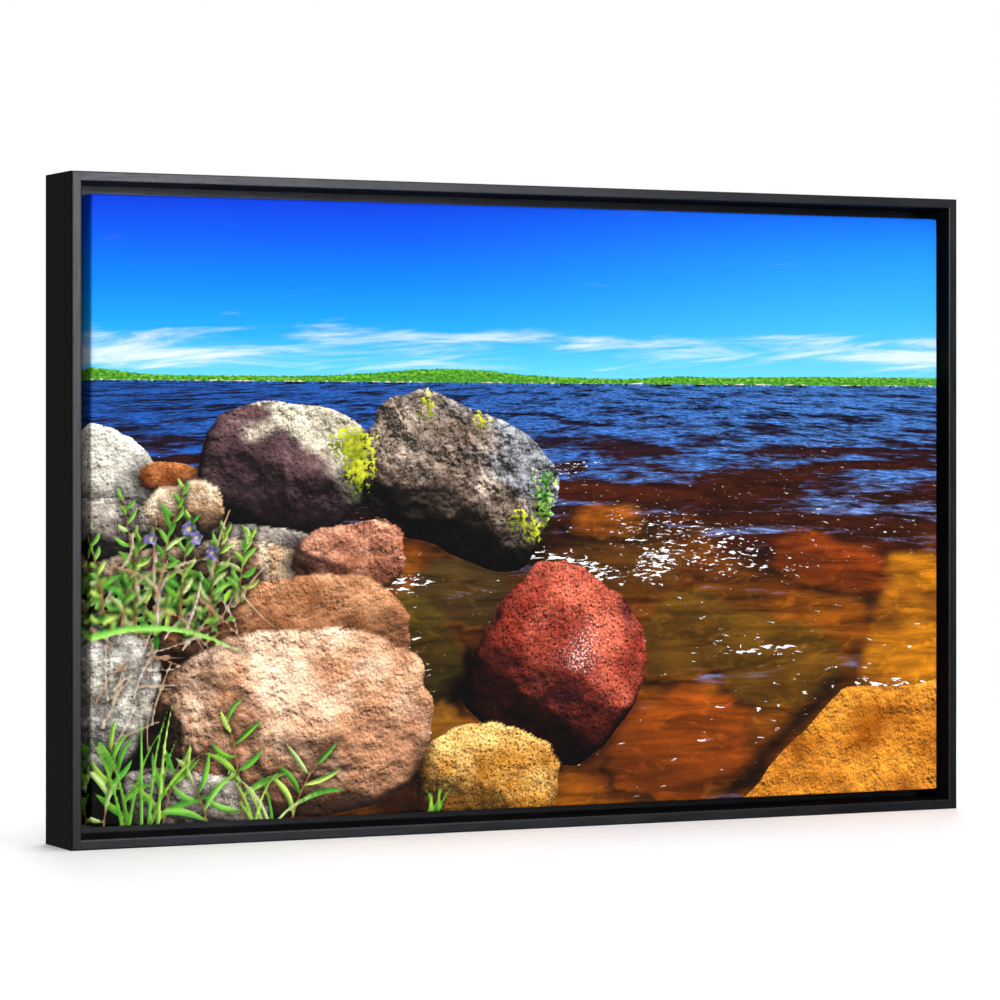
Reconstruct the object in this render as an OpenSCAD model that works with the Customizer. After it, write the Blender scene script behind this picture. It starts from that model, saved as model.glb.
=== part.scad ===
// A stretched canvas print in a floater frame, standing on its bottom edge.
// X runs across the picture, +Y points from the picture's face to the wall, and +Z is up.
// The origin is the centre of the bottom of the whole object's box.

/* [Frame] */
// Outside width of the frame
frame_w = 584; // [400:1:900]
// Outside height of the frame
frame_h = 381; // [360:1:640]
// Depth of the moulding from its front edge to its back
frame_d = 45; // [44:0.5:60]
// Thickness of the moulding's wall, which is the lip seen from the front
lip_w = 6; // [5:0.5:7]
// Width of the back ledge, from the outside of the frame
ledge_w = 28; // [26:0.5:32]
// Open float gap between the wall and the canvas
float_gap = 6.5; // [5:0.5:7.5]
// How far the picture's face lies behind the front edge
recess = 3.2; // [2:0.1:4]
// Rounding of the lip's two front edges
lip_round = 0.9; // [0.4:0.1:1.5]

/* [Canvas] */
// Thickness of the printed canvas
canvas_t = 0.5; // [0.4:0.1:0.8]
// Width of the flap that is turned over the back of the bars
flap_w = 30; // [28:1:32]

/* [Stretcher bars] */
// Width of a stretcher bar
bar_w = 38; // [36:1:44]
// Depth of a stretcher bar
bar_d = 32; // [30:0.5:32]
// How far the bar's front slopes away behind the canvas
bar_slope = 3; // [1:0.5:5]
// Width of the bead that the canvas bears on
bar_bead = 7; // [5:1:10]
// Rounding of the bead's outer edge
bar_round = 1.5; // [0.8:0.1:2]

/* [Corner keys] */
// Thickness of a tapered corner key
key_t = 2.8; // [2:0.1:3]
// How deep a key reaches into its slot
key_in = 18; // [12:1:20]
// How far a key stands out of its slot
key_out = 9; // [6:1:12]

/* [Fasteners] */
// Distance of the staple line from the canvas edge
staple_line = 23; // [21:0.5:24]
// Spacing of the staples along a bar
staple_pitch = 46; // [38:1:60]
// Radius of a mounting screw's shank
screw_r = 1.75; // [1.5:0.05:2]
// Length of a mounting screw's shank
screw_len = 28; // [22:1:30]
// Distance of the mounting screws from the canvas edge
screw_line = 8; // [7:0.5:9]

/* [Hangers] */
// Distance of the ring hinges below the top of the frame
hinge_drop = 89; // [60:1:89]
// Width of a hanger strap
strap_w = 9.5; // [8:0.5:11]
// Thickness of a hanger strap
strap_t = 1.2; // [1:0.1:1.4]
// Radius of the ring's wire
ring_wire_r = 1; // [0.9:0.05:1.1]
// Height of a wall bumper
bumper_h = 4.5; // [4:0.1:6]

/* [Hidden] */
// Steps round a full circle
$fn = 64;
// Steps on a small rounded edge
edge_steps = 5;
// Longer than any cut has to be
far = 100;
// A cut starts this much outside the face that it goes through
over = 1;

// Faces from front to back: the lip, the picture, the bars, the ledge and the back
front_y = -(frame_d + bumper_h) / 2;
canvas_y = front_y + recess;
bar_y = canvas_y + canvas_t;
bar_back_y = bar_y + bar_d;
ledge_y = bar_back_y + canvas_t;
back_y = front_y + frame_d;
ledge_t = back_y - ledge_y;

// Steps inward from the outside of the frame
canvas_in = lip_w + float_gap;
bar_in = canvas_in + canvas_t;
opening_in = bar_in + bar_w;
flap_in = canvas_in + flap_w;
staple_in = canvas_in + staple_line;
screw_in = canvas_in + screw_line;
hanger_in = ledge_w / 2;

// The canvas from the front
canvas_w = frame_w - 2 * canvas_in;
canvas_h = frame_h - 2 * canvas_in;

// Corner keys: a slot for each of a corner's two keys, one behind the other
slot_t = key_t + 0.2;
slot_in = key_in + 0.5;
slot_h = 11.5;
key_tip_h = 8;
key_head_h = 12.5;
flat_key_depth = 13;
upright_key_depth = 22;
flat_key_y = bar_y + flat_key_depth;
upright_key_y = bar_y + upright_key_depth;

// Staples
staple_w = 10;
staple_wire_w = 1.2;
staple_wire_t = 0.5;
staple_leg = 7;
staple_end_gap = 62;

// Screws
screw_head_r = 3.4;
screw_head_h = 2;
screw_hole_r = screw_r + 0.25;
screw_point = 4;
screw_head_round = 1;
screw_tip = 0.12;
long_side_screw_share = 0.33;
short_side_screw_share = 0.2;
long_side_screws = [for (share = [-1, 0, 1]) share * long_side_screw_share * frame_w];
short_side_screws = [for (share = [-1, 1]) share * short_side_screw_share * frame_h];
cross_w = 3.8;
cross_t = 0.8;
cross_depth = 1.2;

// Corner nails in the ledge's mitres
nail_leg = 5.5;
nail_t = 0.5;
nail_depth = min(7, ledge_t - 1);
nail_sunk = 0.2;
nail_places = [7.5, 18];

// Hangers
hanger_x = frame_w / 2 - hanger_in;
hinge_z = frame_h - hinge_drop;
hanger_screw_len = min(8, ledge_t + strap_t - 1);
ring_run = 0.05;
knuckle_hole_r = ring_wire_r + ring_run;
knuckle_r = knuckle_hole_r + strap_t / 2;
hinge_y = back_y + knuckle_r;
strap_len = 26;
strap_screw_z = 17.5;
ring_half_w = 7;
ring_arm = 5;

// Wall bumpers
bumper_r = 5.5;
bumper_dome = 1.2;

// ---- Helpers ----

// Puts children that are drawn for the bottom side, with +Z inward, on a side of the frame
module on_bottom() children();
module on_top() translate([0, 0, frame_h]) rotate([0, 180, 0]) children();
module on_left() translate([-frame_w / 2, 0, frame_h / 2]) rotate([0, 90, 0]) children();
module on_right() translate([frame_w / 2, 0, frame_h / 2]) rotate([0, -90, 0]) children();

// Puts children that are drawn for the bottom left corner, from its outside point, on each corner
module at_corners() {
    for (x = [0, 1], z = [0, 1]) at_corner(x, z) children();
}
module at_corner(x, z) {
    mirror([x, 0, 0])
        translate([-frame_w / 2, 0, z * frame_h])
            mirror([0, 0, z]) children();
}

// Points of a rounded corner, from start to end degrees
function arc(centre, radius, start, end) = [
    for (i = [0:edge_steps])
        let (a = start + (end - start) * i / edge_steps)
            [centre[0] + radius * cos(a), centre[1] + radius * sin(a)]
];

// A moulding along X with its ends cut at 45 degrees. Its outline is in steps back and inward.
module mitred(length, width, outline) {
    intersection() {
        translate([-length / 2 - over, 0, 0])
            rotate([90, 0, 90]) linear_extrude(length + 2 * over) polygon(outline);
        translate([0, far, 0]) rotate([90, 0, 0]) linear_extrude(2 * far)
            polygon([
                [-length / 2 - over, -over], [length / 2 + over, -over],
                [length / 2 - width - over, width + over], [-length / 2 + width + over, width + over]
            ]);
    }
}

// ---- Frame moulding ----

// An L: the wall with its rounded lip, and the ledge behind the canvas
moulding = concat(
    arc([front_y + lip_round, lip_round], lip_round, 270, 180),
    arc([front_y + lip_round, lip_w - lip_round], lip_round, 180, 90),
    [[ledge_y, lip_w], [ledge_y, ledge_w], [back_y, ledge_w]],
    arc([back_y - lip_round, lip_round], lip_round, 0, -90)
);

module rail(length) mitred(length, ledge_w, moulding);

// One V nail: two legs at right angles, one in each rail of a mitre
module nail(place) {
    translate([place, back_y - nail_sunk - nail_depth, place]) {
        cube([nail_leg, nail_depth, nail_t]);
        cube([nail_t, nail_depth, nail_leg]);
    }
}
module nails() {
    at_corners() for (place = nail_places) nail(place);
}
module nail_slots() {
    at_corners() for (place = nail_places) {
        nail(place);
        translate([0, nail_sunk, 0]) nail(place);
    }
}

module frame_holes() {
    nail_slots();
    mounting_screw_holes(screw_hole_r);
    hanger_screw_holes();
}

module frame_top_rail() color([0.06, 0.06, 0.06]) difference() {
    on_top() rail(frame_w);
    frame_holes();
}
module frame_bottom_rail() color([0.09, 0.09, 0.09]) difference() {
    on_bottom() rail(frame_w);
    frame_holes();
}
module frame_left_stile() color([0.07, 0.07, 0.07]) difference() {
    on_left() rail(frame_h);
    frame_holes();
}
module frame_right_stile() color([0.07, 0.07, 0.07]) difference() {
    on_right() rail(frame_h);
    frame_holes();
}
module frame_corner_nails() color([0.6, 0.6, 0.62]) nails();

// ---- Stretcher bars and their keys ----

// The bead under the canvas edge, then a front that slopes away from the canvas
bar_outline = concat(
    arc([bar_y + bar_round, bar_in + bar_round], bar_round, 270, 180),
    [
        [bar_y, bar_in + bar_bead],
        [bar_y + bar_slope, opening_in],
        [bar_back_y, opening_in],
        [bar_back_y, bar_in]
    ]
);

// A bar's ends are mitred on the same diagonals as the frame's
module bar(length) mitred(length, opening_in, bar_outline);

// A corner's flat key lies on the bottom bar and its upright key lies on the side bar
module flat_key() {
    translate([opening_in, flat_key_y + key_t / 2, opening_in]) rotate([90, 0, 0])
        linear_extrude(key_t)
            polygon([[-key_in, 0], [key_out, 0], [key_out, key_head_h], [-key_in, key_tip_h]]);
}
module upright_key() {
    translate([opening_in, upright_key_y + key_t / 2, opening_in]) rotate([90, 0, 0])
        linear_extrude(key_t)
            polygon([[0, -key_in], [key_tip_h, -key_in], [key_head_h, key_out], [0, key_out]]);
}
module key_slots() {
    at_corners() {
        translate([opening_in - slot_in, flat_key_y - slot_t / 2, opening_in])
            cube([slot_in + over, slot_t, slot_h]);
        translate([opening_in, upright_key_y - slot_t / 2, opening_in - slot_in])
            cube([slot_h, slot_t, slot_in + over]);
    }
}

module bar_holes() {
    key_slots();
    staples();
    mounting_screw_holes(screw_r);
}

module stretcher_top_bar() color([0.84, 0.70, 0.50]) difference() {
    on_top() bar(frame_w);
    bar_holes();
}
module stretcher_bottom_bar() color([0.82, 0.68, 0.48]) difference() {
    on_bottom() bar(frame_w);
    bar_holes();
}
module stretcher_left_bar() color([0.86, 0.73, 0.54]) difference() {
    on_left() bar(frame_h);
    bar_holes();
}
module stretcher_right_bar() color([0.85, 0.71, 0.51]) difference() {
    on_right() bar(frame_h);
    bar_holes();
}

// Keys 1 and 2 are at the bottom left, 3 and 4 top left, 5 and 6 bottom right, 7 and 8 top right
module corner_key(number) {
    corner = floor((number - 1) / 2);
    color([0.76, 0.58, 0.38]) at_corner(floor(corner / 2), corner % 2) {
        if (number % 2 == 1) flat_key();
        else upright_key();
    }
}

// ---- Canvas ----

// The canvas covers the face and the four sides, and its flaps turn over the back of the bars
module canvas_print() color([0.16, 0.42, 0.72]) difference() {
    translate([-canvas_w / 2, canvas_y, canvas_in])
        cube([canvas_w, ledge_y - canvas_y, canvas_h]);
    translate([-canvas_w / 2 + canvas_t, bar_y, canvas_in + canvas_t])
        cube([canvas_w - 2 * canvas_t, bar_d, canvas_h - 2 * canvas_t]);
    translate([-frame_w / 2 + flap_in, bar_back_y - over, flap_in])
        cube([frame_w - 2 * flap_in, canvas_t + 2 * over, frame_h - 2 * flap_in]);
    staples();
    mounting_screw_holes(screw_hole_r);
}

// One staple: its crown lies on the flap and its legs go through into the bar
module staple() {
    translate([-staple_w / 2, ledge_y, -staple_wire_w / 2])
        cube([staple_w, staple_wire_t, staple_wire_w]);
    for (x = [-staple_w / 2, staple_w / 2 - staple_wire_t])
        translate([x, ledge_y - staple_leg, -staple_wire_w / 2])
            cube([staple_wire_t, staple_leg, staple_wire_w]);
}
module staple_row(side) {
    count = floor((side - 2 * staple_end_gap) / staple_pitch);
    for (i = [0:count])
        translate([(i - count / 2) * staple_pitch, 0, staple_in]) staple();
}
module staples() {
    on_bottom() staple_row(frame_w);
    on_top() staple_row(frame_w);
    on_left() staple_row(frame_h);
    on_right() staple_row(frame_h);
}
module canvas_staples() color([0.72, 0.72, 0.74]) staples();

// ---- Screws ----

// A screw along -Y from its head's underside, which is at y = 0
module screw(radius, length) {
    difference() {
        rotate([90, 0, 0]) {
            cylinder(r = radius, h = length - screw_point);
            translate([0, 0, length - screw_point])
                cylinder(r1 = radius, r2 = radius * screw_tip, h = screw_point);
            mirror([0, 0, 1]) rotate_extrude() polygon(concat(
                [[0, 0], [screw_head_r, 0]],
                arc(
                    [screw_head_r - screw_head_round, screw_head_h - screw_head_round],
                    screw_head_round, 0, 90
                ),
                [[0, screw_head_h]]
            ));
        }
        for (a = [0, 90]) rotate([0, a, 0])
            translate([-cross_w / 2, screw_head_h - cross_depth, -cross_t / 2])
                cube([cross_w, cross_depth + over, cross_t]);
    }
}

// Screws through the ledge into the bars: three on a long side, two on a short side
module screw_row(places) {
    for (x = places) translate([x, back_y, screw_in]) children();
}
module at_mounting_screws() {
    on_bottom() screw_row(long_side_screws) children();
    on_top() screw_row(long_side_screws) children();
    on_left() screw_row(short_side_screws) children();
    on_right() screw_row(short_side_screws) children();
}
module mounting_screw_holes(radius) {
    at_mounting_screws() rotate([90, 0, 0])
        translate([0, 0, -over]) cylinder(r = radius, h = screw_len + over);
}
module mounting_screws() color([0.2, 0.2, 0.2]) at_mounting_screws() screw(screw_r, screw_len);

module at_hanger_screws() {
    for (side = [-1, 1])
        translate([side * hanger_x, back_y + strap_t, hinge_z + strap_screw_z]) children();
}
module hanger_screw_holes() {
    at_hanger_screws() rotate([90, 0, 0]) cylinder(r = screw_r, h = hanger_screw_len);
}
module hanger_screws() color([0.75, 0.75, 0.77]) at_hanger_screws() screw(screw_r, hanger_screw_len);

// ---- Hangers and bumpers ----

// A strap folded round the ring's straight side, with one screw hole
module hanger_strap(side) {
    color([0.78, 0.78, 0.80]) translate([side * hanger_x, 0, hinge_z]) difference() {
        union() {
            translate([-strap_w / 2, back_y, 0])
                cube([strap_w, strap_t, strap_len - strap_w / 2]);
            translate([0, back_y + strap_t, strap_len - strap_w / 2]) rotate([90, 0, 0])
                cylinder(d = strap_w, h = strap_t);
            translate([-strap_w / 2, hinge_y, 0]) rotate([0, 90, 0])
                cylinder(r = knuckle_r, h = strap_w);
        }
        translate([-strap_w / 2 - over, hinge_y, 0]) rotate([0, 90, 0])
            cylinder(r = knuckle_hole_r, h = strap_w + 2 * over);
        translate([0, back_y + strap_t + over, strap_screw_z]) rotate([90, 0, 0])
            cylinder(r = screw_r, h = strap_t + 2 * over);
    }
}

// A D of round wire that hangs from its straight side
module d_ring(side) {
    color([0.80, 0.80, 0.82]) translate([side * hanger_x, hinge_y, hinge_z]) {
        translate([-ring_half_w, 0, 0]) rotate([0, 90, 0])
            cylinder(r = ring_wire_r, h = 2 * ring_half_w);
        for (x = [-ring_half_w, ring_half_w]) translate([x, 0, 0]) {
            sphere(r = ring_wire_r);
            translate([0, 0, -ring_arm]) cylinder(r = ring_wire_r, h = ring_arm);
        }
        translate([0, 0, -ring_arm]) rotate([90, 0, 0])
            rotate_extrude(angle = 180, start = 180) translate([ring_half_w, 0]) circle(r = ring_wire_r);
    }
}

// A soft foot that holds the bottom of the frame off the wall
module wall_bumper(side) {
    color([0.25, 0.25, 0.26]) translate([side * hanger_x, back_y, hanger_in]) rotate([-90, 0, 0])
        rotate_extrude() polygon(concat(
            [[0, 0], [bumper_r, 0]],
            arc([bumper_r - bumper_dome, bumper_h - bumper_dome], bumper_dome, 0, 90),
            [[0, bumper_h]]
        ));
}

frame_top_rail();
frame_bottom_rail();
frame_left_stile();
frame_right_stile();
frame_corner_nails();
stretcher_top_bar();
stretcher_bottom_bar();
stretcher_left_bar();
stretcher_right_bar();
corner_key(1);  // corner_key_1
corner_key(2);  // corner_key_2
corner_key(3);  // corner_key_3
corner_key(4);  // corner_key_4
corner_key(5);  // corner_key_5
corner_key(6);  // corner_key_6
corner_key(7);  // corner_key_7
corner_key(8);  // corner_key_8
canvas_print();
canvas_staples();
mounting_screws();
hanger_strap(-1);  // hanger_strap_left
hanger_strap(1);  // hanger_strap_right
hanger_screws();
d_ring(-1);  // d_ring_left
d_ring(1);  // d_ring_right
wall_bumper(-1);  // wall_bumper_left
wall_bumper(1);  // wall_bumper_right
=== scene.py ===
"""Looks for a stretched canvas print in a black floater frame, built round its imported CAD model.

Lengths are in metres. The printed picture is a generic lake shore: a small painter works out
masks and colours at the canvas's own vertices, and the material adds the fine detail.
"""

import math

import bmesh
import bpy
import numpy as np
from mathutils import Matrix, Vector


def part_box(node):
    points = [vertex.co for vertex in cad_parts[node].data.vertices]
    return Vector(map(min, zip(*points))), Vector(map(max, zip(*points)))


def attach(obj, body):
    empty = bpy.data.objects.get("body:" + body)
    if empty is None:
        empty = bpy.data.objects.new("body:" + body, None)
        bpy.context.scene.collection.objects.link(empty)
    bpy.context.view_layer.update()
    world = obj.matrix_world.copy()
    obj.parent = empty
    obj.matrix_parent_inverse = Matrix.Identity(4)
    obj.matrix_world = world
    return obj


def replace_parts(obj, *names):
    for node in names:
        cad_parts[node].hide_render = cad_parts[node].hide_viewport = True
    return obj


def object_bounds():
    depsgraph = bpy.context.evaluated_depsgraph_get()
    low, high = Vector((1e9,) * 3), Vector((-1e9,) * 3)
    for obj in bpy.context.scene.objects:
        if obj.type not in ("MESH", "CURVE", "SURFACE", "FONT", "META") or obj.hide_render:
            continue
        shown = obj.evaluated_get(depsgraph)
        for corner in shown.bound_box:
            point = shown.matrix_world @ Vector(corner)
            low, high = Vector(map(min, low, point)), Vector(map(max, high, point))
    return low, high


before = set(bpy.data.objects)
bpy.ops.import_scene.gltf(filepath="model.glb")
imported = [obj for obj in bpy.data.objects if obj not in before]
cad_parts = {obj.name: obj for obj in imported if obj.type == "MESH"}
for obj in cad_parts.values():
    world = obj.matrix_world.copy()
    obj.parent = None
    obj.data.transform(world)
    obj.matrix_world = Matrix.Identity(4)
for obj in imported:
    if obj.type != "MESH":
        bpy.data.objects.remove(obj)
cad_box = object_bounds()

MM = 0.001
ROOT = "framed_canvas"
SEED = 7


# ---------------------------------------------------------------- sizes from the frame


def corners(*nodes):
    """The lowest and highest corners of some nodes together, as two arrays."""
    boxes = [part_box(node) for node in nodes]
    return np.min([low for low, _ in boxes], axis=0), np.max([high for _, high in boxes], axis=0)


CANVAS_LOW, CANVAS_HIGH = corners("canvas_print")
CANVAS_W = CANVAS_HIGH[0] - CANVAS_LOW[0]
CANVAS_H = CANVAS_HIGH[2] - CANVAS_LOW[2]
CANVAS_D = CANVAS_HIGH[1] - CANVAS_LOW[1]
FRAME_W = cad_box[1][0] - cad_box[0][0]
FRAME_H = cad_box[1][2] - cad_box[0][2]
CLOTH = 0.45 * MM
FLAP_W = 30 * MM


# ---------------------------------------------------------------- noise for the painter


def hashed(ix, iy, seed):
    """A number from 0 to 1 for each whole-number cell."""
    h = (ix.astype(np.int64) * 374761393 + iy.astype(np.int64) * 668265263 + seed * 974711) & 0xFFFFFFFF
    h = ((h ^ (h >> 13)) * 1274126177) & 0xFFFFFFFF
    h = ((h ^ (h >> 16)) * 2246822519) & 0xFFFFFFFF
    return ((h ^ (h >> 15)) & 0xFFFFFF) / float(0xFFFFFF)


def smooth_noise(x, y, seed):
    """Value noise from -1 to 1."""
    ix, iy = np.floor(x), np.floor(y)
    fx, fy = x - ix, y - iy
    fx, fy = fx * fx * (3 - 2 * fx), fy * fy * (3 - 2 * fy)
    a, b = hashed(ix, iy, seed), hashed(ix + 1, iy, seed)
    c, d = hashed(ix, iy + 1, seed), hashed(ix + 1, iy + 1, seed)
    return 2 * ((a + (b - a) * fx) * (1 - fy) + (c + (d - c) * fx) * fy) - 1


def fbm(x, y, seed, octaves=4, gain=0.5):
    """Layered noise, from about -1 to 1."""
    total, size, norm = 0, 1.0, 0.0
    for k in range(octaves):
        total = total + size * smooth_noise(x * 2.03**k + 17.3 * k, y * 2.03**k - 9.1 * k, seed + k)
        norm, size = norm + size, size * gain
    return total / norm


def ridges(x, y, seed, octaves=4):
    """Layered noise with sharp crests, from 0 to 1."""
    total, size, norm = 0, 1.0, 0.0
    for k in range(octaves):
        crest = 1 - np.abs(smooth_noise(x * 2.1**k + 5.7 * k, y * 2.1**k + 3.3 * k, seed + k))
        total, norm, size = total + size * crest**2, norm + size, size * 0.5
    return total / norm


def ramp(x, low, high):
    """A smooth step from 0 at low to 1 at high."""
    t = np.clip((x - low) / (high - low), 0, 1)
    return t * t * (3 - 2 * t)


def bell(x, middle, width):
    """1 at the middle, and about a third of that one width away from it."""
    return np.exp(-(((x - middle) / width) ** 2))


def halo(inside, width):
    """1 at an outline and fading outside it, from the distance inside the outline."""
    return bell(np.clip(inside, -1, 0), 0, width) * (inside <= 0)


def dim(colours, amount):
    """Colours made darker, by 0 to 1 for each point."""
    return colours * (1 - amount)[..., None]


def curve(start, bend, end, t):
    """The point at t, from 0 to 1, along a bent line."""
    return (1 - t) ** 2 * start + 2 * t * (1 - t) * bend + t**2 * end


def smooth_low(a, b, width):
    """The lower of two heights, with a rounded join."""
    mixed = np.clip(0.5 + 0.5 * (b - a) / width, 0, 1)
    return b + (a - b) * mixed - width * mixed * (1 - mixed)


def blend(a, b, t):
    """Colours from a to b, with t one number for each point."""
    return a + (b - a) * np.asarray(t)[..., None]


def colour(hexed):
    """A web colour as linear light."""
    c = np.array([int(hexed[i : i + 2], 16) / 255 for i in (0, 2, 4)])
    return np.where(c <= 0.04045, c / 12.92, ((c + 0.055) / 1.055) ** 2.4)


def gradient(t, stops):
    """Colours along (place, web colour) stops."""
    places = [place for place, _ in stops]
    colours = np.array([colour(web) for _, web in stops])
    return np.stack([np.interp(t, places, colours[:, k]) for k in range(3)], axis=-1)


# ---------------------------------------------------------------- the picture
# Picture coordinates: x from 0 at the left to ASPECT, y from 0 at the bottom to 1.

ASPECT = CANVAS_W / CANVAS_H
HORIZON = 0.706
SUN = np.array([0.34, 0.72, 0.60])
SUN = SUN / np.linalg.norm(SUN)
SHADE_SIDE = (-0.55, -0.84)

# Rocks from the far ones to the near ones: centre, half sizes, tilt in degrees, squareness,
# kind, sink (how much of its foot is dark or wet) and seed.
ROCKS = [
    (0.012, 0.556, 0.096, 0.078, -20, 2.4, "pale", 0.30, 3),
    (0.145, 0.545, 0.066, 0.030, -8, 2.2, "rust", 0.30, 5),
    (0.332, 0.566, 0.152, 0.106, -6, 2.5, "purple", 0.28, 8),
    (0.150, 0.490, 0.078, 0.050, 12, 2.6, "sand", 0.15, 13),
    (0.645, 0.545, 0.180, 0.122, -24, 2.9, "crag", 0.34, 21),
    (0.300, 0.447, 0.105, 0.026, -6, 2.5, "grey", 0.20, 34),
    (0.030, 0.470, 0.070, 0.050, 8, 2.5, "grey", 0.15, 36),
    (0.110, 0.385, 0.135, 0.052, 6, 2.7, "sand", 0.10, 55),
    (0.280, 0.402, 0.120, 0.046, -10, 2.6, "sand", 0.12, 58),
    (0.446, 0.412, 0.100, 0.062, 10, 2.8, "red_brown", 0.20, 89),
    (0.110, 0.320, 0.150, 0.040, -4, 2.6, "soil", 0.00, 91),
    (0.310, 0.276, 0.232, 0.112, 6, 2.7, "brown", 0.05, 144),
    (0.338, 0.152, 0.250, 0.150, 2, 2.8, "pink", 0.10, 149),
    (0.050, 0.100, 0.110, 0.110, 0, 2.6, "soil", 0.00, 151),
    (0.000, 0.200, 0.100, 0.130, -18, 2.5, "pale", 0.05, 233),
    (0.828, 0.230, 0.152, 0.158, -34, 2.9, "granite", 0.26, 377),
    (0.170, 0.020, 0.130, 0.060, -12, 2.5, "grey", 0.05, 401),
    (0.700, 0.040, 0.130, 0.102, -4, 2.4, "gold", 0.05, 610),
]
# Sunken stones, seen through the water: centre, half sizes, tilt, colour and seed.
SUNKEN = [
    (0.645, 0.360, 0.102, 0.060, -6, "423214", 11),
    (0.560, 0.270, 0.070, 0.100, 30, "4a3a0c", 12),
    (0.960, 0.400, 0.120, 0.050, -5, "502e0a", 14),
    (1.080, 0.280, 0.110, 0.075, 10, "5a3c0a", 15),
    (1.240, 0.230, 0.125, 0.080, -14, "60400a", 16),
    (1.060, 0.090, 0.150, 0.090, 6, "843a06", 17),
    (0.920, 0.480, 0.070, 0.030, 0, "904a08", 18),
    (1.360, 0.400, 0.130, 0.045, -12, "7c3206", 19),
    (0.600, 0.120, 0.060, 0.060, 0, "805010", 20),
]
# Dark water in the shade of stones: centre, half sizes, tilt and strength.
SHADES = [
    (0.745, 0.130, 0.130, 0.060, -42, 0.95),
    (0.520, 0.480, 0.100, 0.045, 0, 0.9),
    (0.750, 0.420, 0.110, 0.030, 12, 0.8),
    (0.600, 0.400, 0.040, 0.050, 0, 0.7),
    (1.130, 0.110, 0.050, 0.110, -40, 0.9),
    (1.180, 0.330, 0.060, 0.060, 20, 0.65),
    (1.450, 0.330, 0.035, 0.070, 8, 0.7),
    (0.640, 0.215, 0.050, 0.090, -20, 0.7),
]
# White foam and glints: centre, half sizes, tilt and strength.
FOAM = [
    (0.845, 0.405, 0.130, 0.022, -14, 1.0),
    (1.010, 0.400, 0.050, 0.030, 20, 0.9),
    (1.100, 0.430, 0.200, 0.050, -12, 0.5),
    (1.200, 0.255, 0.100, 0.014, -4, 0.7),
    (1.480, 0.190, 0.110, 0.010, 0, 1.0),
    (0.530, 0.372, 0.070, 0.022, 6, 0.9),
    (0.850, 0.565, 0.060, 0.012, 10, 0.6),
    (0.560, 0.180, 0.030, 0.120, 0, 0.5),
    (1.110, 0.115, 0.014, 0.080, -34, 0.6),
]
# Kinds: shadow, base and light colours, speckle, cragginess, gloss, how deep the facets cut and
# how far from the middle the side in hard shade starts.
KINDS = {
    "pale": ("625e5a", "d2cdbe", "f6f2e8", 0.55, 0.22, 0.1, 0.30, 0.66),
    "rust": ("4a1c08", "8c4418", "d98a50", 0.35, 0.30, 0.3, 0.20, 1.2),
    "purple": ("32222a", "78585a", "d4cab2", 0.40, 0.50, 0.2, 0.25, 0.72),
    "sand": ("6a4c34", "b48c68", "ecd8b8", 0.40, 0.35, 0.0, 0.30, 1.2),
    "crag": ("181416", "6c5a4e", "baa896", 0.40, 1.00, 0.1, 0.45, 0.42),
    "grey": ("38322e", "7c716a", "c8beb0", 0.45, 0.45, 0.1, 0.30, 0.85),
    "red_brown": ("4a2018", "9c5c44", "e0a080", 0.45, 0.45, 0.3, 0.30, 0.80),
    "soil": ("0c0804", "1c120a", "4a3420", 0.40, 1.00, 0.0, 0.30, 1.2),
    "pink": ("6c4634", "c08a66", "f8d2b2", 0.75, 0.30, 0.0, 0.22, 0.86),
    "brown": ("3c2414", "8c5836", "cc946a", 0.60, 0.25, 0.0, 0.16, 0.95),
    "granite": ("220a08", "842c1e", "dc6c52", 1.00, 0.25, 1.0, 0.42, 0.34),
    "gold": ("6a3c08", "b87c28", "f8c878", 1.00, 0.15, 0.3, 0.12, 1.2),
}
# The sky from the horizon up, at its deep left side and its pale right side.
DEEP_SKY = (
    (0, "78dcff"),
    (0.1, "54ccff"),
    (0.28, "1ca8ff"),
    (0.55, "0084ff"),
    (0.8, "005af4"),
    (1, "003ee2"),
)
PALE_SKY = ((0, "78dcff"), (0.3, "4cc2ff"), (0.5, "34b2ff"), (0.8, "1c96ff"), (1, "0a72f6"))
# Moss cushions: centre, half sizes and seed.
MOSS = (
    (0.452, 0.600, 0.034, 0.028, 5),
    (0.460, 0.566, 0.022, 0.034, 6),
    (0.585, 0.664, 0.006, 0.012, 9),
    (0.684, 0.640, 0.008, 0.009, 10),
    (0.752, 0.478, 0.012, 0.009, 11),
    (0.792, 0.500, 0.008, 0.020, 12),
    (0.780, 0.462, 0.012, 0.013, 13),
)
# Sprigs of the bush and of the near edge: root, height, lean and number of leaves.
BUSH = (
    (0.075, 0.30, 0.22, -0.02, 15),
    (0.050, 0.31, 0.15, 0.04, 12),
    (0.150, 0.33, 0.16, 0.02, 15),
    (0.200, 0.33, 0.14, 0.03, 15),
    (0.020, 0.34, 0.13, -0.03, 10),
    (0.250, 0.35, 0.11, 0.02, 13),
    (0.110, 0.34, 0.20, 0.05, 15),
)
NEAR_SPRIGS = (
    (0.060, -0.02, 0.15, -0.03, 6),
    (0.120, -0.02, 0.12, 0.03, 6),
    (0.020, -0.02, 0.13, 0.02, 6),
    (0.260, -0.02, 0.19, -0.03, 8),
    (0.200, -0.02, 0.10, -0.04, 6),
    (0.340, -0.02, 0.11, 0.05, 6),
)
FLOWERS = ((0.165, 0.470), (0.178, 0.455), (0.100, 0.455), (0.205, 0.430))
# Grass from the near edge: root, number of blades, height and spread.
NEAR_TUFTS = ((0.080, -0.02, 8, 0.22, 0.11), (0.300, -0.02, 7, 0.10, 0.09), (0.590, -0.01, 5, 0.080, 0.045))
LIGHT_GREENS = ("acdc4c", "7cc438", "d0ec70", "90d054", "dcec98", "64b438")
DARK_GREENS = ("246818", "184c10", "30781c", "44882c")
DRY = ("e8d4b8", "c8a888", "b87858", "f0e4d0")


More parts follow.
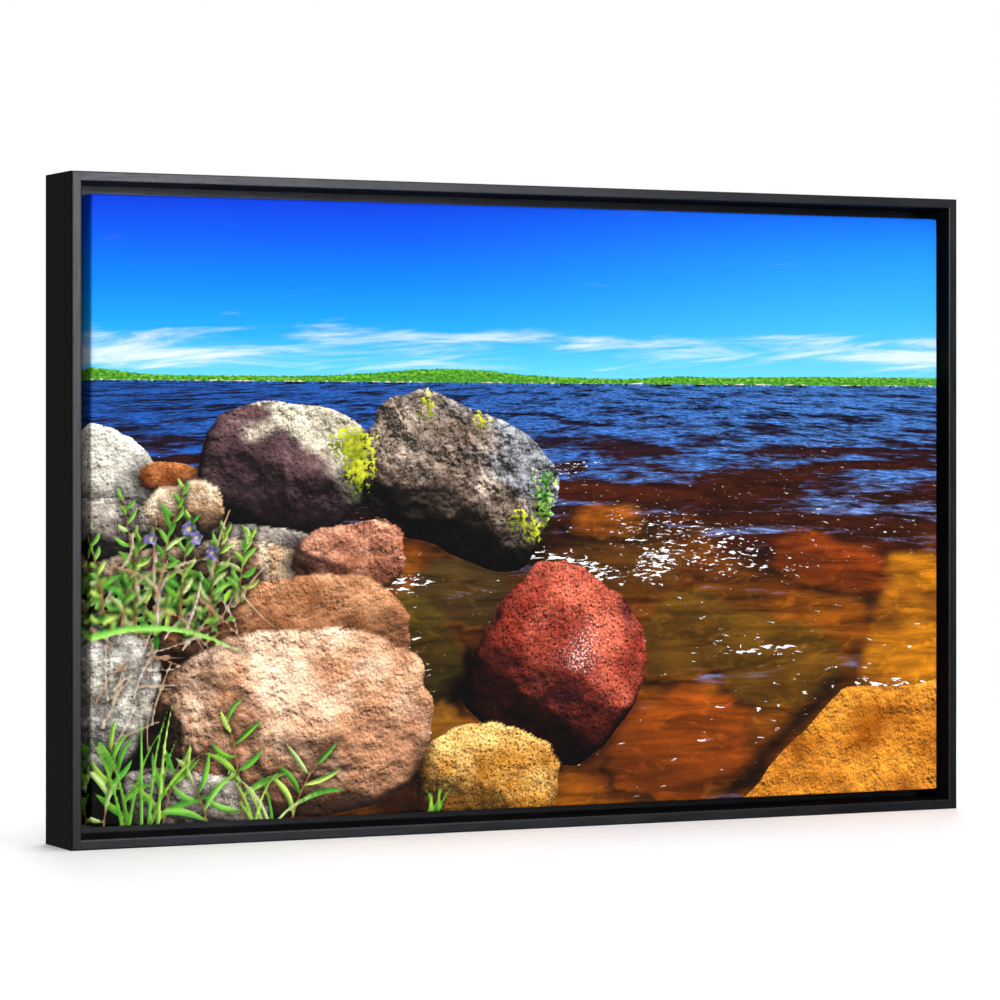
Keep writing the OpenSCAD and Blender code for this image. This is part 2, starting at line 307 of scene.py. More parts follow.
class Picture:
    """The layers of the picture at each point of a grid in picture coordinates."""

    def __init__(self, x, y):
        self.x, self.y = x, y
        self.random = np.random.default_rng(SEED)
        self.rock = np.full(x.shape, -1.0)
        self.rock_colour = np.zeros(x.shape + (3,))
        self.grain = np.zeros(x.shape + (3,))
        self.leaf = np.full(x.shape, -1.0)
        self.leaf_colour = np.zeros(x.shape + (3,))
        self.fuzz = np.zeros(x.shape)
        self.paint_sky()
        self.paint_land()
        self.paint_water()
        for spec in SUNKEN:
            self.paint_sunken(*spec)
        self.paint_slab()
        for spec in ROCKS:
            self.paint_rock(*spec)
        self.paint_plants()

    def layers(self):
        """Every layer by name, with one row of numbers for each point."""
        effects = np.stack([self.sheen_amount, self.sparkle, self.cloud], axis=-1)
        return {
            "sky": self.sky,
            "land": self.land,
            "bed": self.bed,
            "sheen": self.sheen,
            "effects": effects,
            "rock": self.rock,
            "rock_colour": self.rock_colour,
            "grain": self.grain,
            "leaf": self.leaf,
            "leaf_colour": self.leaf_colour,
            "fuzz": self.fuzz,
        }

    # ---- far things

    def paint_sky(self):
        t = (self.y - HORIZON) / (1 - HORIZON)
        across = self.x / ASPECT
        self.sky = 0.88 * blend(gradient(t, DEEP_SKY), gradient(t, PALE_SKY), ramp(across, 0.25, 1.1))
        rise = 0.20 + 0.04 * ramp(across, 0.1, 0.45) - 0.03 * ramp(across, 0.55, 1.0)
        band = bell(t, rise, 0.075)
        low_band = 0.6 * bell(t, 0.085, 0.03) * (1 - 0.6 * ramp(across, 0.5, 0.9))
        patchy = 0.5 + 0.5 * smooth_noise(self.x * 3.1, self.y * 2, SEED)
        self.cloud = np.clip(band * (0.55 + 0.55 * patchy) + low_band * (0.5 + 0.5 * patchy), 0, 1)

    def paint_land(self):
        x = self.x
        hills = 0.009 + 0.014 * bell(x, 0.62, 0.15) + 0.012 * bell(x, -0.02, 0.08)
        hills = hills + 0.006 * ramp(x, 0.95, 1.35) + 0.004 * bell(x, 1.05, 0.06)
        self.land = HORIZON + hills - self.y

    # ---- water

    def turned(self, cx, cy, rx, ry, tilt):
        """Coordinates within a tilted ellipse, from -1 to 1 across it."""
        a = math.radians(tilt)
        dx, dy = self.x - cx, self.y - cy
        u = (dx * math.cos(a) + dy * math.sin(a)) / rx
        v = (-dx * math.sin(a) + dy * math.cos(a)) / ry
        return u, v

    def spots(self, specs):
        """The strongest of some soft-edged ellipses at each point."""
        total = np.zeros(self.x.shape)
        for cx, cy, rx, ry, tilt, strength in specs:
            u, v = self.turned(cx, cy, rx, ry, tilt)
            ragged = 1 + 0.35 * fbm(u * 1.5 + cx * 9, v * 1.5, 66)
            total = np.maximum(total, strength * ramp(1.25 - np.hypot(u, v) * ragged, 0, 0.75))
        return total

    def paint_water(self):
        x, y = self.x, self.y
        below = np.maximum(HORIZON - y, 0.004)
        across = (x - 0.9) / below
        warp = fbm(x * 2, y * 3, 61)
        brown = ramp(below + 0.03 * warp, 0.03, 0.16)
        near = ramp(below + 0.05 * warp - 0.04 * ramp(x, 0.5, 1.57), 0.17, 0.36)
        self.sheen = blend(colour("2058b0"), colour("4478c4"), ramp(x, 0.2, 1.4))
        self.sheen = blend(self.sheen, colour("8896c8"), ramp(below, 0.12, 0.35))
        dark = blend(colour("080e28"), colour("2a0c04"), brown)
        amber = blend(colour("6c2a04"), colour("8c5208"), 0.5 + 0.6 * fbm(x * 5, y * 7, 62))
        amber = blend(amber, colour("b86a08"), 0.7 * ramp(fbm(x * 7 + 1, y * 12, 67, 5), 0.1, 0.5))
        amber = blend(amber, colour("281004"), ramp(fbm(x * 4 + 3, y * 9, 63, 5), -0.06, 0.36))
        self.bed = blend(dark, amber, near)
        rows = 3.1 * np.log(below) + 1.3 * fbm(across * 0.22, 2.2 * np.log(below), 68, 3)
        phase = rows - np.floor(rows)
        face = ramp(phase, 0.0, 0.12) * (1 - ramp(phase, 0.35, 0.6)) * ramp(below, 0.05, 0.12)
        face = face * (0.6 + 0.4 * smooth_noise(across * 0.5, rows, 69)) * (1 - 0.7 * near)
        self.bed = blend(self.bed, colour("4a1804"), face * 0.7 * ramp(below, 0.1, 0.2))
        self.sheen_amount = 0.58 - 0.07 * brown - 0.10 * ramp(below, 0.13, 0.22) - 0.14 * near - 0.42 * face
        self.sparkle = 0.34 + 0.16 * ramp(below, 0.05, 0.2) + 0.20 * fbm(x * 3, y * 5, 64)
        shade = self.spots(SHADES)
        self.bed = blend(self.bed, colour("060304"), shade * 0.9)
        self.sheen_amount = self.sheen_amount - 0.12 * shade
        foam = self.spots(FOAM)
        self.sparkle = self.sparkle + 0.75 * foam - 0.2 * shade

    def shape(self, cx, cy, rx, ry, tilt, power, seed, rough=0.10):
        """A stone's own coordinates, its relative radius, and the distance inside its outline."""
        u, v = self.turned(cx, cy, rx, ry, tilt)
        angle = np.arctan2(v, u)
        radius = (np.abs(u) ** power + np.abs(v) ** power) ** (1 / power)
        outline = 1 + rough * fbm(1.3 * np.cos(angle) + seed, 1.3 * np.sin(angle) - seed, seed, 3)
        outline = outline + 0.3 * rough * smooth_noise(6 * np.cos(angle), 6 * np.sin(angle), seed + 5)
        return u, v, radius / outline, (1 - radius / outline) * min(rx, ry)

    def paint_sunken(self, cx, cy, rx, ry, tilt, web, seed):
        u, v, _, inside = self.shape(cx, cy, rx, ry, tilt, 2.5, seed, 0.26)
        inside = inside + 0.008 * fbm(self.x * 14, self.y * 18, seed + 3, 4)
        mask = ramp(inside, -0.004, 0.012)
        light = 0.72 + 0.45 * (0.6 * v + 0.3 * u) + 0.45 * fbm(self.x * 16, self.y * 20, seed, 5)
        stone = colour(web) * np.clip(light, 0.15, 1.7)[..., None]
        rim = halo(inside, 0.016) * ramp(-v, -0.3, 0.6)
        self.bed = dim(self.bed, 0.75 * rim)
        self.bed = blend(self.bed, stone, mask * 0.92)
        self.sheen_amount = self.sheen_amount - 0.08 * mask

    def paint_slab(self):
        """A flat slab that runs under the water at the lower right."""
        x, y = self.x, self.y
        edge = (x - 1.20) * 0.86 - (y - 0.02) * 0.95 + 0.012 * fbm(x * 9, y * 9, 71)
        top = 0.185 + 0.012 * fbm(x * 12, y * 4, 72)
        dry = np.minimum(edge, top - y)
        side = (x - 1.40) * 0.95 - (y - 0.2) * 0.30 + 0.02 * fbm(x * 8, y * 10, 73)
        sunk = np.minimum(side, 0.42 - y)
        gold = blend(colour("7c4608"), colour("d0800e"), 0.5 + 0.9 * fbm(x * 9, y * 16, 74, 5))
        shade = bell(edge, -0.025, 0.03) * ramp(0.28 - y, 0, 0.1)
        self.bed = blend(self.bed, colour("050302"), 0.9 * shade)
        drowned = ramp(sunk, -0.004, 0.02) * ramp(y, 0.10, 0.2)
        self.bed = blend(self.bed, gold, drowned * 0.85)
        self.sheen_amount = self.sheen_amount - 0.12 * drowned
        stone = blend(colour("9c5608"), colour("e89830"), 0.5 + 0.9 * fbm(x * 14, y * 22, 75, 4))
        self.lay_rock(dry, stone, (0.95, 0.35, 0.1))

    # ---- rocks

    def lay_rock(self, inside, stone, grain, dark=0.5):
        """Puts a stone over what is there, from the distance inside its outline, and its shadow round it."""
        take = (inside > 0) | ((inside > self.rock) & (self.rock < 0))
        shadow = halo(inside, 0.012) * dark
        self.rock_colour = dim(self.rock_colour, 0.9 * shadow)
        self.bed = dim(self.bed, 0.6 * shadow)
        self.rock_colour = np.where(take[..., None], stone, self.rock_colour)
        self.grain = np.where(take[..., None], np.array(grain), self.grain)
        self.rock = np.maximum(self.rock, inside)

    def paint_rock(self, cx, cy, rx, ry, tilt, power, kind, sink, seed):
        shadow, base, light, speckle, crag, gloss, cut, shade_from = KINDS[kind]
        u, v, r, inside = self.shape(cx, cy, rx, ry, tilt, power, seed)
        random = np.random.default_rng(seed)
        size = min(rx, ry)
        px, py = self.x / size, self.y / size
        wu = u + 0.16 * fbm(px * 1.1, py * 1.1, seed + 8, 4)
        wv = v + 0.16 * fbm(px * 1.1 + 7, py * 1.1, seed + 9, 4)
        height = np.sqrt(np.clip(1 - np.clip(r, 0, 1) ** 2.4, 0, 1))
        for _ in range(9):
            a, lean = random.uniform(0, 2 * math.pi), random.uniform(0.35, 0.95)
            across = wu * math.cos(a) + wv * math.sin(a)
            facet = 1 - cut * random.uniform(0.2, 1.1) - lean * across * 0.8
            height = smooth_low(height, facet, 0.10)
        bumps = 0.07 * fbm(px * 2.2, py * 2.2, seed + 1, 6, 0.58)
        bumps = bumps + crag * 0.17 * (ridges(px * 2.4, py * 2.4, seed + 2, 5) - 0.5)
        lit = self.sunlight((height + bumps) * size * 0.95)
        foot = ramp(-turn_down(u, v, tilt), 0.80 - 2.2 * sink, 1.02)
        lit = lit * (1 - 0.85 * foot) + 0.04
        mottle = 0.5 + 0.5 * fbm(px * 2.5, py * 2.5, seed + 4, 5)
        albedo = blend(colour(base), colour(light), ramp(mottle + 0.25 * v, 0.35, 1.0))
        if kind == "purple":
            cap = ramp(v * 0.7 + u * 0.55 + 0.5 * fbm(u * 2.5, v * 2.5, seed + 6, 4), 0.15, 0.5)
            albedo = blend(blend(colour(base), colour(shadow), mottle), colour(light), cap)
        if kind == "crag":
            cap = ramp(v * 0.6 + u * 0.5 + 0.4 * fbm(u * 3, v * 3, seed + 6, 4), 0.25, 0.6)
            albedo = blend(albedo, colour("8f9196"), cap)
        crevice = ramp(ridges(px * 2.9 + 3, py * 2.9, seed + 11, 5), 0.66, 0.86)
        albedo = dim(albedo, 0.85 * crag * crevice)
        if kind == "granite":
            dull = ramp(fbm(px * 1.6, py * 1.6, seed + 7, 5), 0.02, 0.4)
            albedo = blend(albedo, colour("2c1420"), 0.75 * dull)
            gloss = gloss * (0.25 + 0.9 * np.exp(-(((u - 0.10) / 0.30) ** 2) - ((v - 0.15) / 0.55) ** 2))
        stone = blend(colour(shadow) * 0.35, albedo, np.clip(lit * 1.5, 0, 1))
        stone = stone * (0.42 + 0.78 * lit)[..., None]
        dx, dy = self.x - cx, self.y - cy
        toward = dx / rx * SHADE_SIDE[0] + dy / ry * SHADE_SIDE[1]
        toward = toward + 0.14 * fbm(px * 1.5, py * 1.5, seed + 12, 5)
        stone = dim(stone, 0.84 * ramp(toward, shade_from, shade_from + 0.10))
        away = ramp(-(dx * SUN[0] + dy * SUN[1]) / (np.hypot(dx, dy) + 1e-6), -0.45, 0.30)
        rim = 1 - ramp(inside, 0.0, 0.012)
        stone = stone * (1 + rim * (0.25 * (1 - away) - 0.75 * away))[..., None]
        grain = np.stack([speckle + 0 * u, crag + 0 * u, gloss + 0 * u], axis=-1)
        self.lay_rock(np.where(inside > -0.08, inside, -1.0), stone, grain, 0.2 + 0.8 * away)

    def sunlight(self, height):
        """How much sun each point of a relief gets."""
        gy = np.gradient(height, axis=0) / np.gradient(self.y, axis=0)
        gx = np.gradient(height, axis=1) / np.gradient(self.x, axis=1)
        length = np.sqrt(gx**2 + gy**2 + 1)
        lit = (-gx * SUN[0] - gy * SUN[1] + SUN[2]) / length
        return np.clip(lit, 0, 1)

    # ---- plants

    def draw(self, low, high):
        """The next random number between two."""
        return self.random.uniform(low, high)

    def pick(self, choices):
        """One of some choices at random."""
        return choices[self.random.integers(len(choices))]

    def stroke(self, start, bend, end, width, profile, light, dark):
        """One leaf, blade or stem along a bent line, lit on one side of its rib."""
        t = np.linspace(0, 1, 13)[:, None]
        line = curve(np.array(start), np.array(bend), np.array(end), t)
        low, high = line.min(axis=0) - 0.02, line.max(axis=0) + 0.02
        rows = slice(*np.searchsorted(self.y[:, 0], (low[1], high[1])))
        cols = slice(*np.searchsorted(self.x[0], (low[0], high[0])))
        x, y = self.x[rows, cols], self.y[rows, cols]
        if x.size == 0:
            return
        best = np.full(x.shape, -1.0)
        side, place = np.zeros(x.shape), np.zeros(x.shape)
        for k in range(len(line) - 1):
            (ax, ay), (bx, by) = line[k], line[k + 1]
            dx, dy = bx - ax, by - ay
            length = math.hypot(dx, dy) + 1e-9
            s = np.clip(((x - ax) * dx + (y - ay) * dy) / length**2, 0, 1)
            along = (k + s) / (len(line) - 1)
            inside = width * profile(along) - np.hypot(x - ax - s * dx, y - ay - s * dy)
            better = inside > best
            best = np.where(better, inside, best)
            side = np.where(better, ((x - ax) * dy - (y - ay) * dx) / length / width, side)
            place = np.where(better, along, place)
        old = self.leaf[rows, cols]
        take = (best > 0) | ((best > old) & (old < 0))
        shade = halo(best, 0.007) * 0.5
        self.rock_colour[rows, cols] *= (1 - shade)[..., None]
        self.leaf_colour[rows, cols] *= (1 - 0.6 * shade)[..., None]
        fade = 0.35 * smooth_noise(x * 40, y * 40, 93)
        tone = np.clip(0.38 + 0.9 * side + 0.25 * np.sin(place * 3) + fade, 0, 1)
        paint = blend(colour(dark), colour(light), tone)
        self.leaf_colour[rows, cols] = np.where(take[..., None], paint, self.leaf_colour[rows, cols])
        self.leaf[rows, cols] = np.maximum(old, best)

    def leaf_at(self, x, y, angle, length, width, greens=LIGHT_GREENS, bend=0.35):
        """A pointed leaf from (x, y) along an angle in degrees."""
        a = math.radians(angle)
        tip = (x + length * math.cos(a), y + length * math.sin(a))
        lean = bend * length * self.draw(-1, 1)
        mid = ((x + tip[0]) / 2 - lean * math.sin(a), (y + tip[1]) / 2 + lean * math.cos(a))
        light = self.pick(greens)
        self.stroke((x, y), mid, tip, width, leaf_profile, light, self.pick(DARK_GREENS))

    def sprig(self, x, y, height, lean, count, length, width):
        """A stem with leaves on both sides that get smaller towards its tip."""
        top = (x + lean, y + height)
        bend = (x + 0.2 * lean, y + 0.55 * height)
        self.stroke((x, y), bend, top, 0.0020, stem_profile, "b07850", "6c4020")
        for k in range(count):
            t = 0.12 + 0.88 * (k + 0.5) / count
            px, py = curve(x, bend[0], top[0], t), curve(y, bend[1], top[1], t)
            side = 1 if k % 2 else -1
            smaller = 1.1 - 0.5 * t
            angle = 90 - math.degrees(lean / height) * 0.5 - side * self.draw(25, 75) * smaller
            size = length * self.draw(0.7, 1.15) * smaller
            self.leaf_at(px, py, angle, size, width * (1.1 - 0.4 * t))

    def litter(self, cx, cy, rx, ry, count, length, width, greens):
        """Leaves strewn over an ellipse."""
        for _ in range(count):
            a, r = self.draw(0, 2 * math.pi), math.sqrt(self.draw(0, 1))
            x, y = cx + rx * r * math.cos(a), cy + ry * r * math.sin(a)
            size = self.draw(0.6, 1.3)
            self.leaf_at(x, y, self.draw(0, 360), length * size, width * size, greens)

    def straws(self, cx, cy, rx, ry, count, length):
        """Dry pale stems strewn over an ellipse."""
        for _ in range(count):
            x, y = cx + rx * self.draw(-1, 1), cy + ry * self.draw(-1, 1)
            a = math.radians(self.draw(-60, 100))
            far = length * self.draw(0.5, 1.2)
            end = (x + far * math.cos(a), y + far * math.sin(a))
            mid = [(a + b) / 2 + 0.01 * self.random.normal() for a, b in zip((x, y), end)]
            self.stroke((x, y), mid, end, 0.0017, stem_profile, self.pick(DRY), "b89878")

    def tuft(self, x, y, count, height, spread):
        """Grass blades from one root."""
        for _ in range(count):
            lean = self.draw(-spread, spread)
            tall = height * self.draw(0.6, 1.1)
            light = self.pick(LIGHT_GREENS)
            root = x + self.draw(-0.3, 0.3) * spread
            bend, tip = (root + 0.2 * lean, y + 0.7 * tall), (root + lean, y + tall)
            self.stroke((root, y), bend, tip, 0.0028, blade_profile, light, "2c7418")

    def moss(self, cx, cy, rx, ry, seed):
        """A cushion of bright moss. Its ragged edge and tips come from the material."""
        u, v, _, inside = self.shape(cx, cy, rx, ry, 0, 2.0, seed, 0.35)
        tone = ramp(0.7 * fbm(self.x * 45, self.y * 45, seed, 3) + 0.35 * v + 0.2 * u, -0.5, 0.6)
        paint = blend(colour("56680e"), colour("c8cc30"), tone)
        take = ((inside > -0.012) & (inside > self.leaf))[..., None]
        self.leaf_colour = np.where(take, paint, self.leaf_colour)
        self.fuzz = np.where(inside > -0.03, 1.0, self.fuzz)
        self.leaf = np.maximum(self.leaf, inside)

    def flower(self, x, y, size):
        """A small purple flower."""
        for k in range(5):
            angle = 72 * k + 40 * self.draw(0, 1)
            self.leaf_at(x, y, angle, size, size * 0.42, ("b89cf0", "9878e8", "a88cec"), 0)
        self.stroke((x, y), (x, y), (x + 0.001, y), 0.003, stem_profile, "f0e070", "d0b040")

    def paint_plants(self):
        for cushion in MOSS:
            self.moss(*cushion)
        self.tuft(0.800, 0.490, 6, 0.060, 0.030)
        self.litter(0.100, 0.345, 0.150, 0.050, 90, 0.026, 0.0045, DARK_GREENS)
        self.straws(0.110, 0.330, 0.130, 0.060, 26, 0.10)
        self.litter(0.120, 0.355, 0.145, 0.050, 110, 0.022, 0.0042, LIGHT_GREENS)
        for spec in BUSH:
            self.sprig(*spec, 0.044, 0.0044)
        self.straws(0.150, 0.360, 0.120, 0.060, 16, 0.09)
        self.straws(0.060, 0.200, 0.060, 0.090, 22, 0.10)
        for x, y in FLOWERS:
            self.flower(x, y, 0.012)
        arc = ((-0.02, 0.292), (0.130, 0.345), (0.270, 0.262))
        self.stroke(*arc, 0.0056, blade_profile, "a8e468", "5cb43c")
        for spec in NEAR_SPRIGS:
            self.sprig(*spec, 0.090, 0.0052)
        for spec in NEAR_TUFTS:
            self.tuft(*spec)


def turn_down(u, v, tilt):
    """The upward part of a tilted stone's own coordinates."""
    a = math.radians(tilt)
    return v * math.cos(a) + u * math.sin(a)


def leaf_profile(t):
    """Half width of a leaf along its rib: pointed at both ends and widest before the middle."""
    return np.clip(np.sin(np.pi * np.clip(t, 0, 1) ** 0.8), 0.02, 1)


def blade_profile(t):
    """Half width of a grass blade, which tapers to its tip."""
    return np.clip(1 - t, 0.02, 1) ** 0.55


def stem_profile(t):
    """Half width of a stem, nearly even."""
    return 1 - 0.3 * t


# ---------------------------------------------------------------- the canvas
# Lines across the print as (start, end, count) stretches of its width and height: finest where
# the plants and rocks are, and widest apart in the sky.

COLUMN_BANDS = ((0.0, 0.27, 140), (0.27, 0.65, 132), (0.65, 1.0, 60))
ROW_BANDS = ((0.0, 0.53, 170), (0.53, 0.70, 36), (0.70, 0.73, 8), (0.73, 1.0, 10))
FRONT_ROUND = 1.5 * MM
BACK_ROUND = 1.0 * MM
CORNER_ROUND = 1.4 * MM
CREASE = 50
BLEED = 8 * MM
COARSE = 8
LEDGE_COVER = 15.5 * MM
FOLD_RISE = 1.0 * MM
FOLD_LONG = 25 * MM
STAPLE_PITCH = 46 * MM
STAPLE_END_GAP = 62 * MM


def lines(bands):
    """Places of the grid lines, from -1 to 1 across the front."""
    parts = [np.linspace(a, b, count, endpoint=False) for a, b, count in bands]
    return np.append(np.concatenate(parts), 1.0) * 2 - 1


def canvas_profile():
    """Loops of the outer side, as (inset, depth, way past the front's edge)."""
    arc = [math.radians(a) for a in (0, 30, 60, 90)]
    front = [(FRONT_ROUND * (1 - math.sin(a)), FRONT_ROUND * (1 - math.cos(a))) for a in arc]
    side = [(0.0, CANVAS_D * share) for share in (0.13, 0.26, 0.5)]
    back = [
        (BACK_ROUND * (1 - math.cos(a)), CANVAS_D - BACK_ROUND * (1 - math.sin(a))) for a in arc
    ]
    flap = [(inset * MM, CANVAS_D) for inset in (15.4, 17, 20, 25)] + [(FLAP_W, CANVAS_D)]
    loops, past = [], -FRONT_ROUND
    for inset, depth in front + side + back + flap:
        if loops:
            past += math.hypot(inset - loops[-1][0], depth - loops[-1][1])
        loops.append((inset, depth, past))
    return loops


def soften(x, z):
    """Rounds the four corners of loops that lie near the canvas's outside."""
    mx, mz = (CANVAS_LOW[0] + CANVAS_HIGH[0]) / 2, (CANVAS_LOW[2] + CANVAS_HIGH[2]) / 2
    sx, sz = np.sign(x - mx), np.sign(z - mz)
    a = np.abs(x - mx) - (CANVAS_W / 2 - CORNER_ROUND)
    b = np.abs(z - mz) - (CANVAS_H / 2 - CORNER_ROUND)
    near = (a > 0) & (b > 0)
    pull = np.where(near, np.maximum(a, b) / np.maximum(np.hypot(a, b), 1e-9), 1.0)
    x = np.where(near, mx + sx * (CANVAS_W / 2 - CORNER_ROUND + a * pull), x)
    z = np.where(near, mz + sz * (CANVAS_H / 2 - CORNER_ROUND + b * pull), z)
    return x, z


class Sheet:
    """Collects the canvas's points and faces."""

    def __init__(self):
        self.points, self.threads, self.picture, self.bleed, self.faces = [], [], [], [], []
        self.count = 0

    def add(self, points, threads, picture, bleed):
        start = self.count
        self.points.append(points)
        self.threads.append(threads)
        self.picture.append(picture)
        self.bleed.append(bleed)
        self.count += len(points)
        return np.arange(start, self.count)


def unfolded(x, z, bx, bz, past):
    """Thread coordinates of a loop laid flat, and the picture coordinates that mirror at the edges."""
    middle_z = (CANVAS_LOW[2] + CANVAS_HIGH[2]) / 2
    tx = np.where(np.abs(bx) >= 1, np.sign(bx) * (CANVAS_W / 2 + past), x)
    tz = np.where(np.abs(bz) >= 1, np.sign(bz) * (CANVAS_H / 2 + past), z - middle_z)
    sides = []
    for along, size in ((tx, CANVAS_W), (tz, CANVAS_H)):
        mirrored = size / 2 - np.abs(size / 2 - np.abs(along))
        sides.append(np.sign(along) * mirrored + size / 2)
    return np.stack([tx, tz], axis=-1), np.stack(sides, axis=-1) / CANVAS_H


def canvas_shape():
    """The canvas as points, faces, thread and picture coordinates, and how far inside the print each is."""
    cols, rows = lines(COLUMN_BANDS), lines(ROW_BANDS)
    nx, nz = len(cols) - 1, len(rows) - 1
    mx, mz = (CANVAS_LOW[0] + CANVAS_HIGH[0]) / 2, (CANVAS_LOW[2] + CANVAS_HIGH[2]) / 2
    end = CANVAS_D + BLEED
    sheet = Sheet()

    def lay(bx, bz, inset, depth, past, printed):
        x = mx + bx * (CANVAS_W / 2 - inset)
        z = mz + bz * (CANVAS_H / 2 - inset)
        thread, picture = unfolded(x - mx, z, bx, bz, past)
        sx, sz = soften(x, z)
        points = np.stack([sx, CANVAS_LOW[1] + depth + 0 * sx, sz], axis=-1)
        bleed = np.full(len(bx), (end - past) if printed else -1.0)
        return sheet.add(points, thread, picture, bleed)

    gx, gz = np.meshgrid(cols, rows)
    front = lay(gx.ravel(), gz.ravel(), FRONT_ROUND, 0.0, -FRONT_ROUND, True).reshape(gx.shape)
    for j in range(nz):
        for i in range(nx):
            sheet.faces.append((front[j, i], front[j, i + 1], front[j + 1, i + 1], front[j + 1, i]))
    ring = [(i, 0) for i in range(nx)] + [(nx, j) for j in range(nz)]
    ring += [(i, nz) for i in range(nx, 0, -1)] + [(0, j) for j in range(nz, 0, -1)]
    bx = np.array([cols[i] for i, _ in ring])
    bz = np.array([rows[j] for _, j in ring])
    loop = np.array([front[j, i] for i, j in ring])

    def join(old, new):
        for k in range(len(ring)):
            n = (k + 1) % len(ring)
            sheet.faces.append((old[k], new[k], new[n], old[n]))
        return new

    for inset, depth, past in canvas_profile()[1:]:
        rise, wave = flap_shape(bx, bz, inset)
        new = lay(bx, bz, inset + wave, depth + rise - 0.05 * MM, past, True)
        loop = join(loop, new)
    rise, wave = flap_shape(bx, bz, FLAP_W)
    back = CANVAS_D - CLOTH
    inner = [(FLAP_W, back), (16 * MM, back), (15 * MM, back), (CLOTH, back), (CLOTH, CLOTH)]
    for k, (inset, depth) in enumerate(inner):
        if k < 2:
            depth = depth + rise
        if k == 0:
            inset = inset + wave
        new = lay(bx, bz, inset, depth - 0.05 * MM * (k < 4), 0.0, False)
        loop = join(loop, new)

    where = {spot: vertex for spot, vertex in zip(ring, loop)}

    def inside(i, j):
        if (i, j) not in where:
            where[i, j] = lay(cols[i : i + 1], rows[j : j + 1], CLOTH, CLOTH, 0.0, False)[0]
        return where[i, j]

    stops_x = list(range(0, nx, COARSE)) + [nx]
    stops_z = list(range(0, nz, COARSE)) + [nz]
    for i0, i1 in zip(stops_x, stops_x[1:]):
        for j0, j1 in zip(stops_z, stops_z[1:]):
            sheet.faces.append(coarse_cell(i0, i1, j0, j1, nx, nz, inside))
    return sheet, cols, rows


def staple_places(side):
    """Where the staples stand along a bar, from its middle."""
    count = math.floor((side - 2 * STAPLE_END_GAP) / STAPLE_PITCH + 1e-6)
    return (np.arange(count + 1) - count / 2) * STAPLE_PITCH


def flap_shape(bx, bz, inset):
    """How far the back flap stands up near its corner folds, and how ragged its cut edge is."""
    if inset < LEDGE_COVER:
        return 0.0, 0.0
    from_side = (1 - np.abs(bx)) * (CANVAS_W / 2 - inset)
    along_top = (np.abs(bz) >= 1) & (np.abs(bx) < 1)
    rise = FOLD_RISE * ramp(FOLD_LONG - from_side, 0, 0.5 * FOLD_LONG) * along_top
    along = np.where(np.abs(bz) >= 1, bx * (CANVAS_W / 2 - inset), bz * (CANVAS_H / 2 - inset))
    ripple = np.zeros(len(bx))
    for side, chosen in ((FRAME_W, np.abs(bz) >= 1), (FRAME_H, np.abs(bz) < 1)):
        gap = np.min(np.abs(along[:, None] - staple_places(side)[None, :]), axis=1)
        ripple = np.where(chosen, 0.32 * MM * ramp(gap, 3 * MM, 21 * MM), ripple)
    share = min(1.0, (inset - LEDGE_COVER) / (3 * MM))
    wave = 0.0
    if inset >= FLAP_W - 0.1 * MM:
        wave = 0.5 * MM * fbm(bx * 60 + 9, bz * 60, 31, 3)
    return (rise + ripple) * share, wave


def coarse_cell(i0, i1, j0, j1, nx, nz, inside):
    """One face of the canvas's inner side. It meets every fine point along the edges."""
    bottom = range(i0, i1 + 1) if j0 == 0 else (i0, i1)
    right = range(j0, j1 + 1) if i1 == nx else (j0, j1)
    top = range(i1, i0 - 1, -1) if j1 == nz else (i1, i0)
    left = range(j1, j0 - 1, -1) if i0 == 0 else (j1, j0)
    path = [(i, j0) for i in bottom] + [(i1, j) for j in right][1:]
    path += [(i, j1) for i in top][1:] + [(i0, j) for j in left][1:-1]
    return tuple(inside(i, j) for i, j in reversed(path))


def sampled(values, cols, rows, picture):
    """Bilinear samples of a front layer at picture coordinates."""
    xs = (cols + 1) / 2 * ASPECT
    ys = (rows + 1) / 2
    fi = np.interp(picture[:, 0], xs, np.arange(len(xs)))
    fj = np.interp(picture[:, 1], ys, np.arange(len(ys)))
    i, j = np.minimum(fi.astype(int), len(xs) - 2), np.minimum(fj.astype(int), len(ys) - 2)
    s, t = fi - i, fj - j
    if values.ndim == 3:
        s, t = s[:, None], t[:, None]
    low = values[j, i] * (1 - s) + values[j, i + 1] * s
    high = values[j + 1, i] * (1 - s) + values[j + 1, i + 1] * s
    return low * (1 - t) + high * t


def store(mesh, name, values):
    """Keeps a number, vector or colour for each point of a mesh."""
    if values.ndim == 1:
        mesh.attributes.new(name, "FLOAT", "POINT").data.foreach_set("value", values.astype(np.float32))
        return
    full = np.zeros((len(values), 3), np.float32)
    full[:, : values.shape[1]] = values
    mesh.attributes.new(name, "FLOAT_VECTOR", "POINT").data.foreach_set("vector", full.ravel())


def new_piece(name, mesh, material):
    """A smooth piece with sharp creases that rides the frame and takes its finish from a slot."""
    mesh.polygons.foreach_set("use_smooth", [True] * len(mesh.polygons))
    mesh.set_sharp_from_angle(angle=math.radians(CREASE))
    piece = bpy.data.objects.new(name, mesh)
    bpy.context.scene.collection.objects.link(piece)
    mesh.materials.append(material)
    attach(piece, ROOT)
    return piece


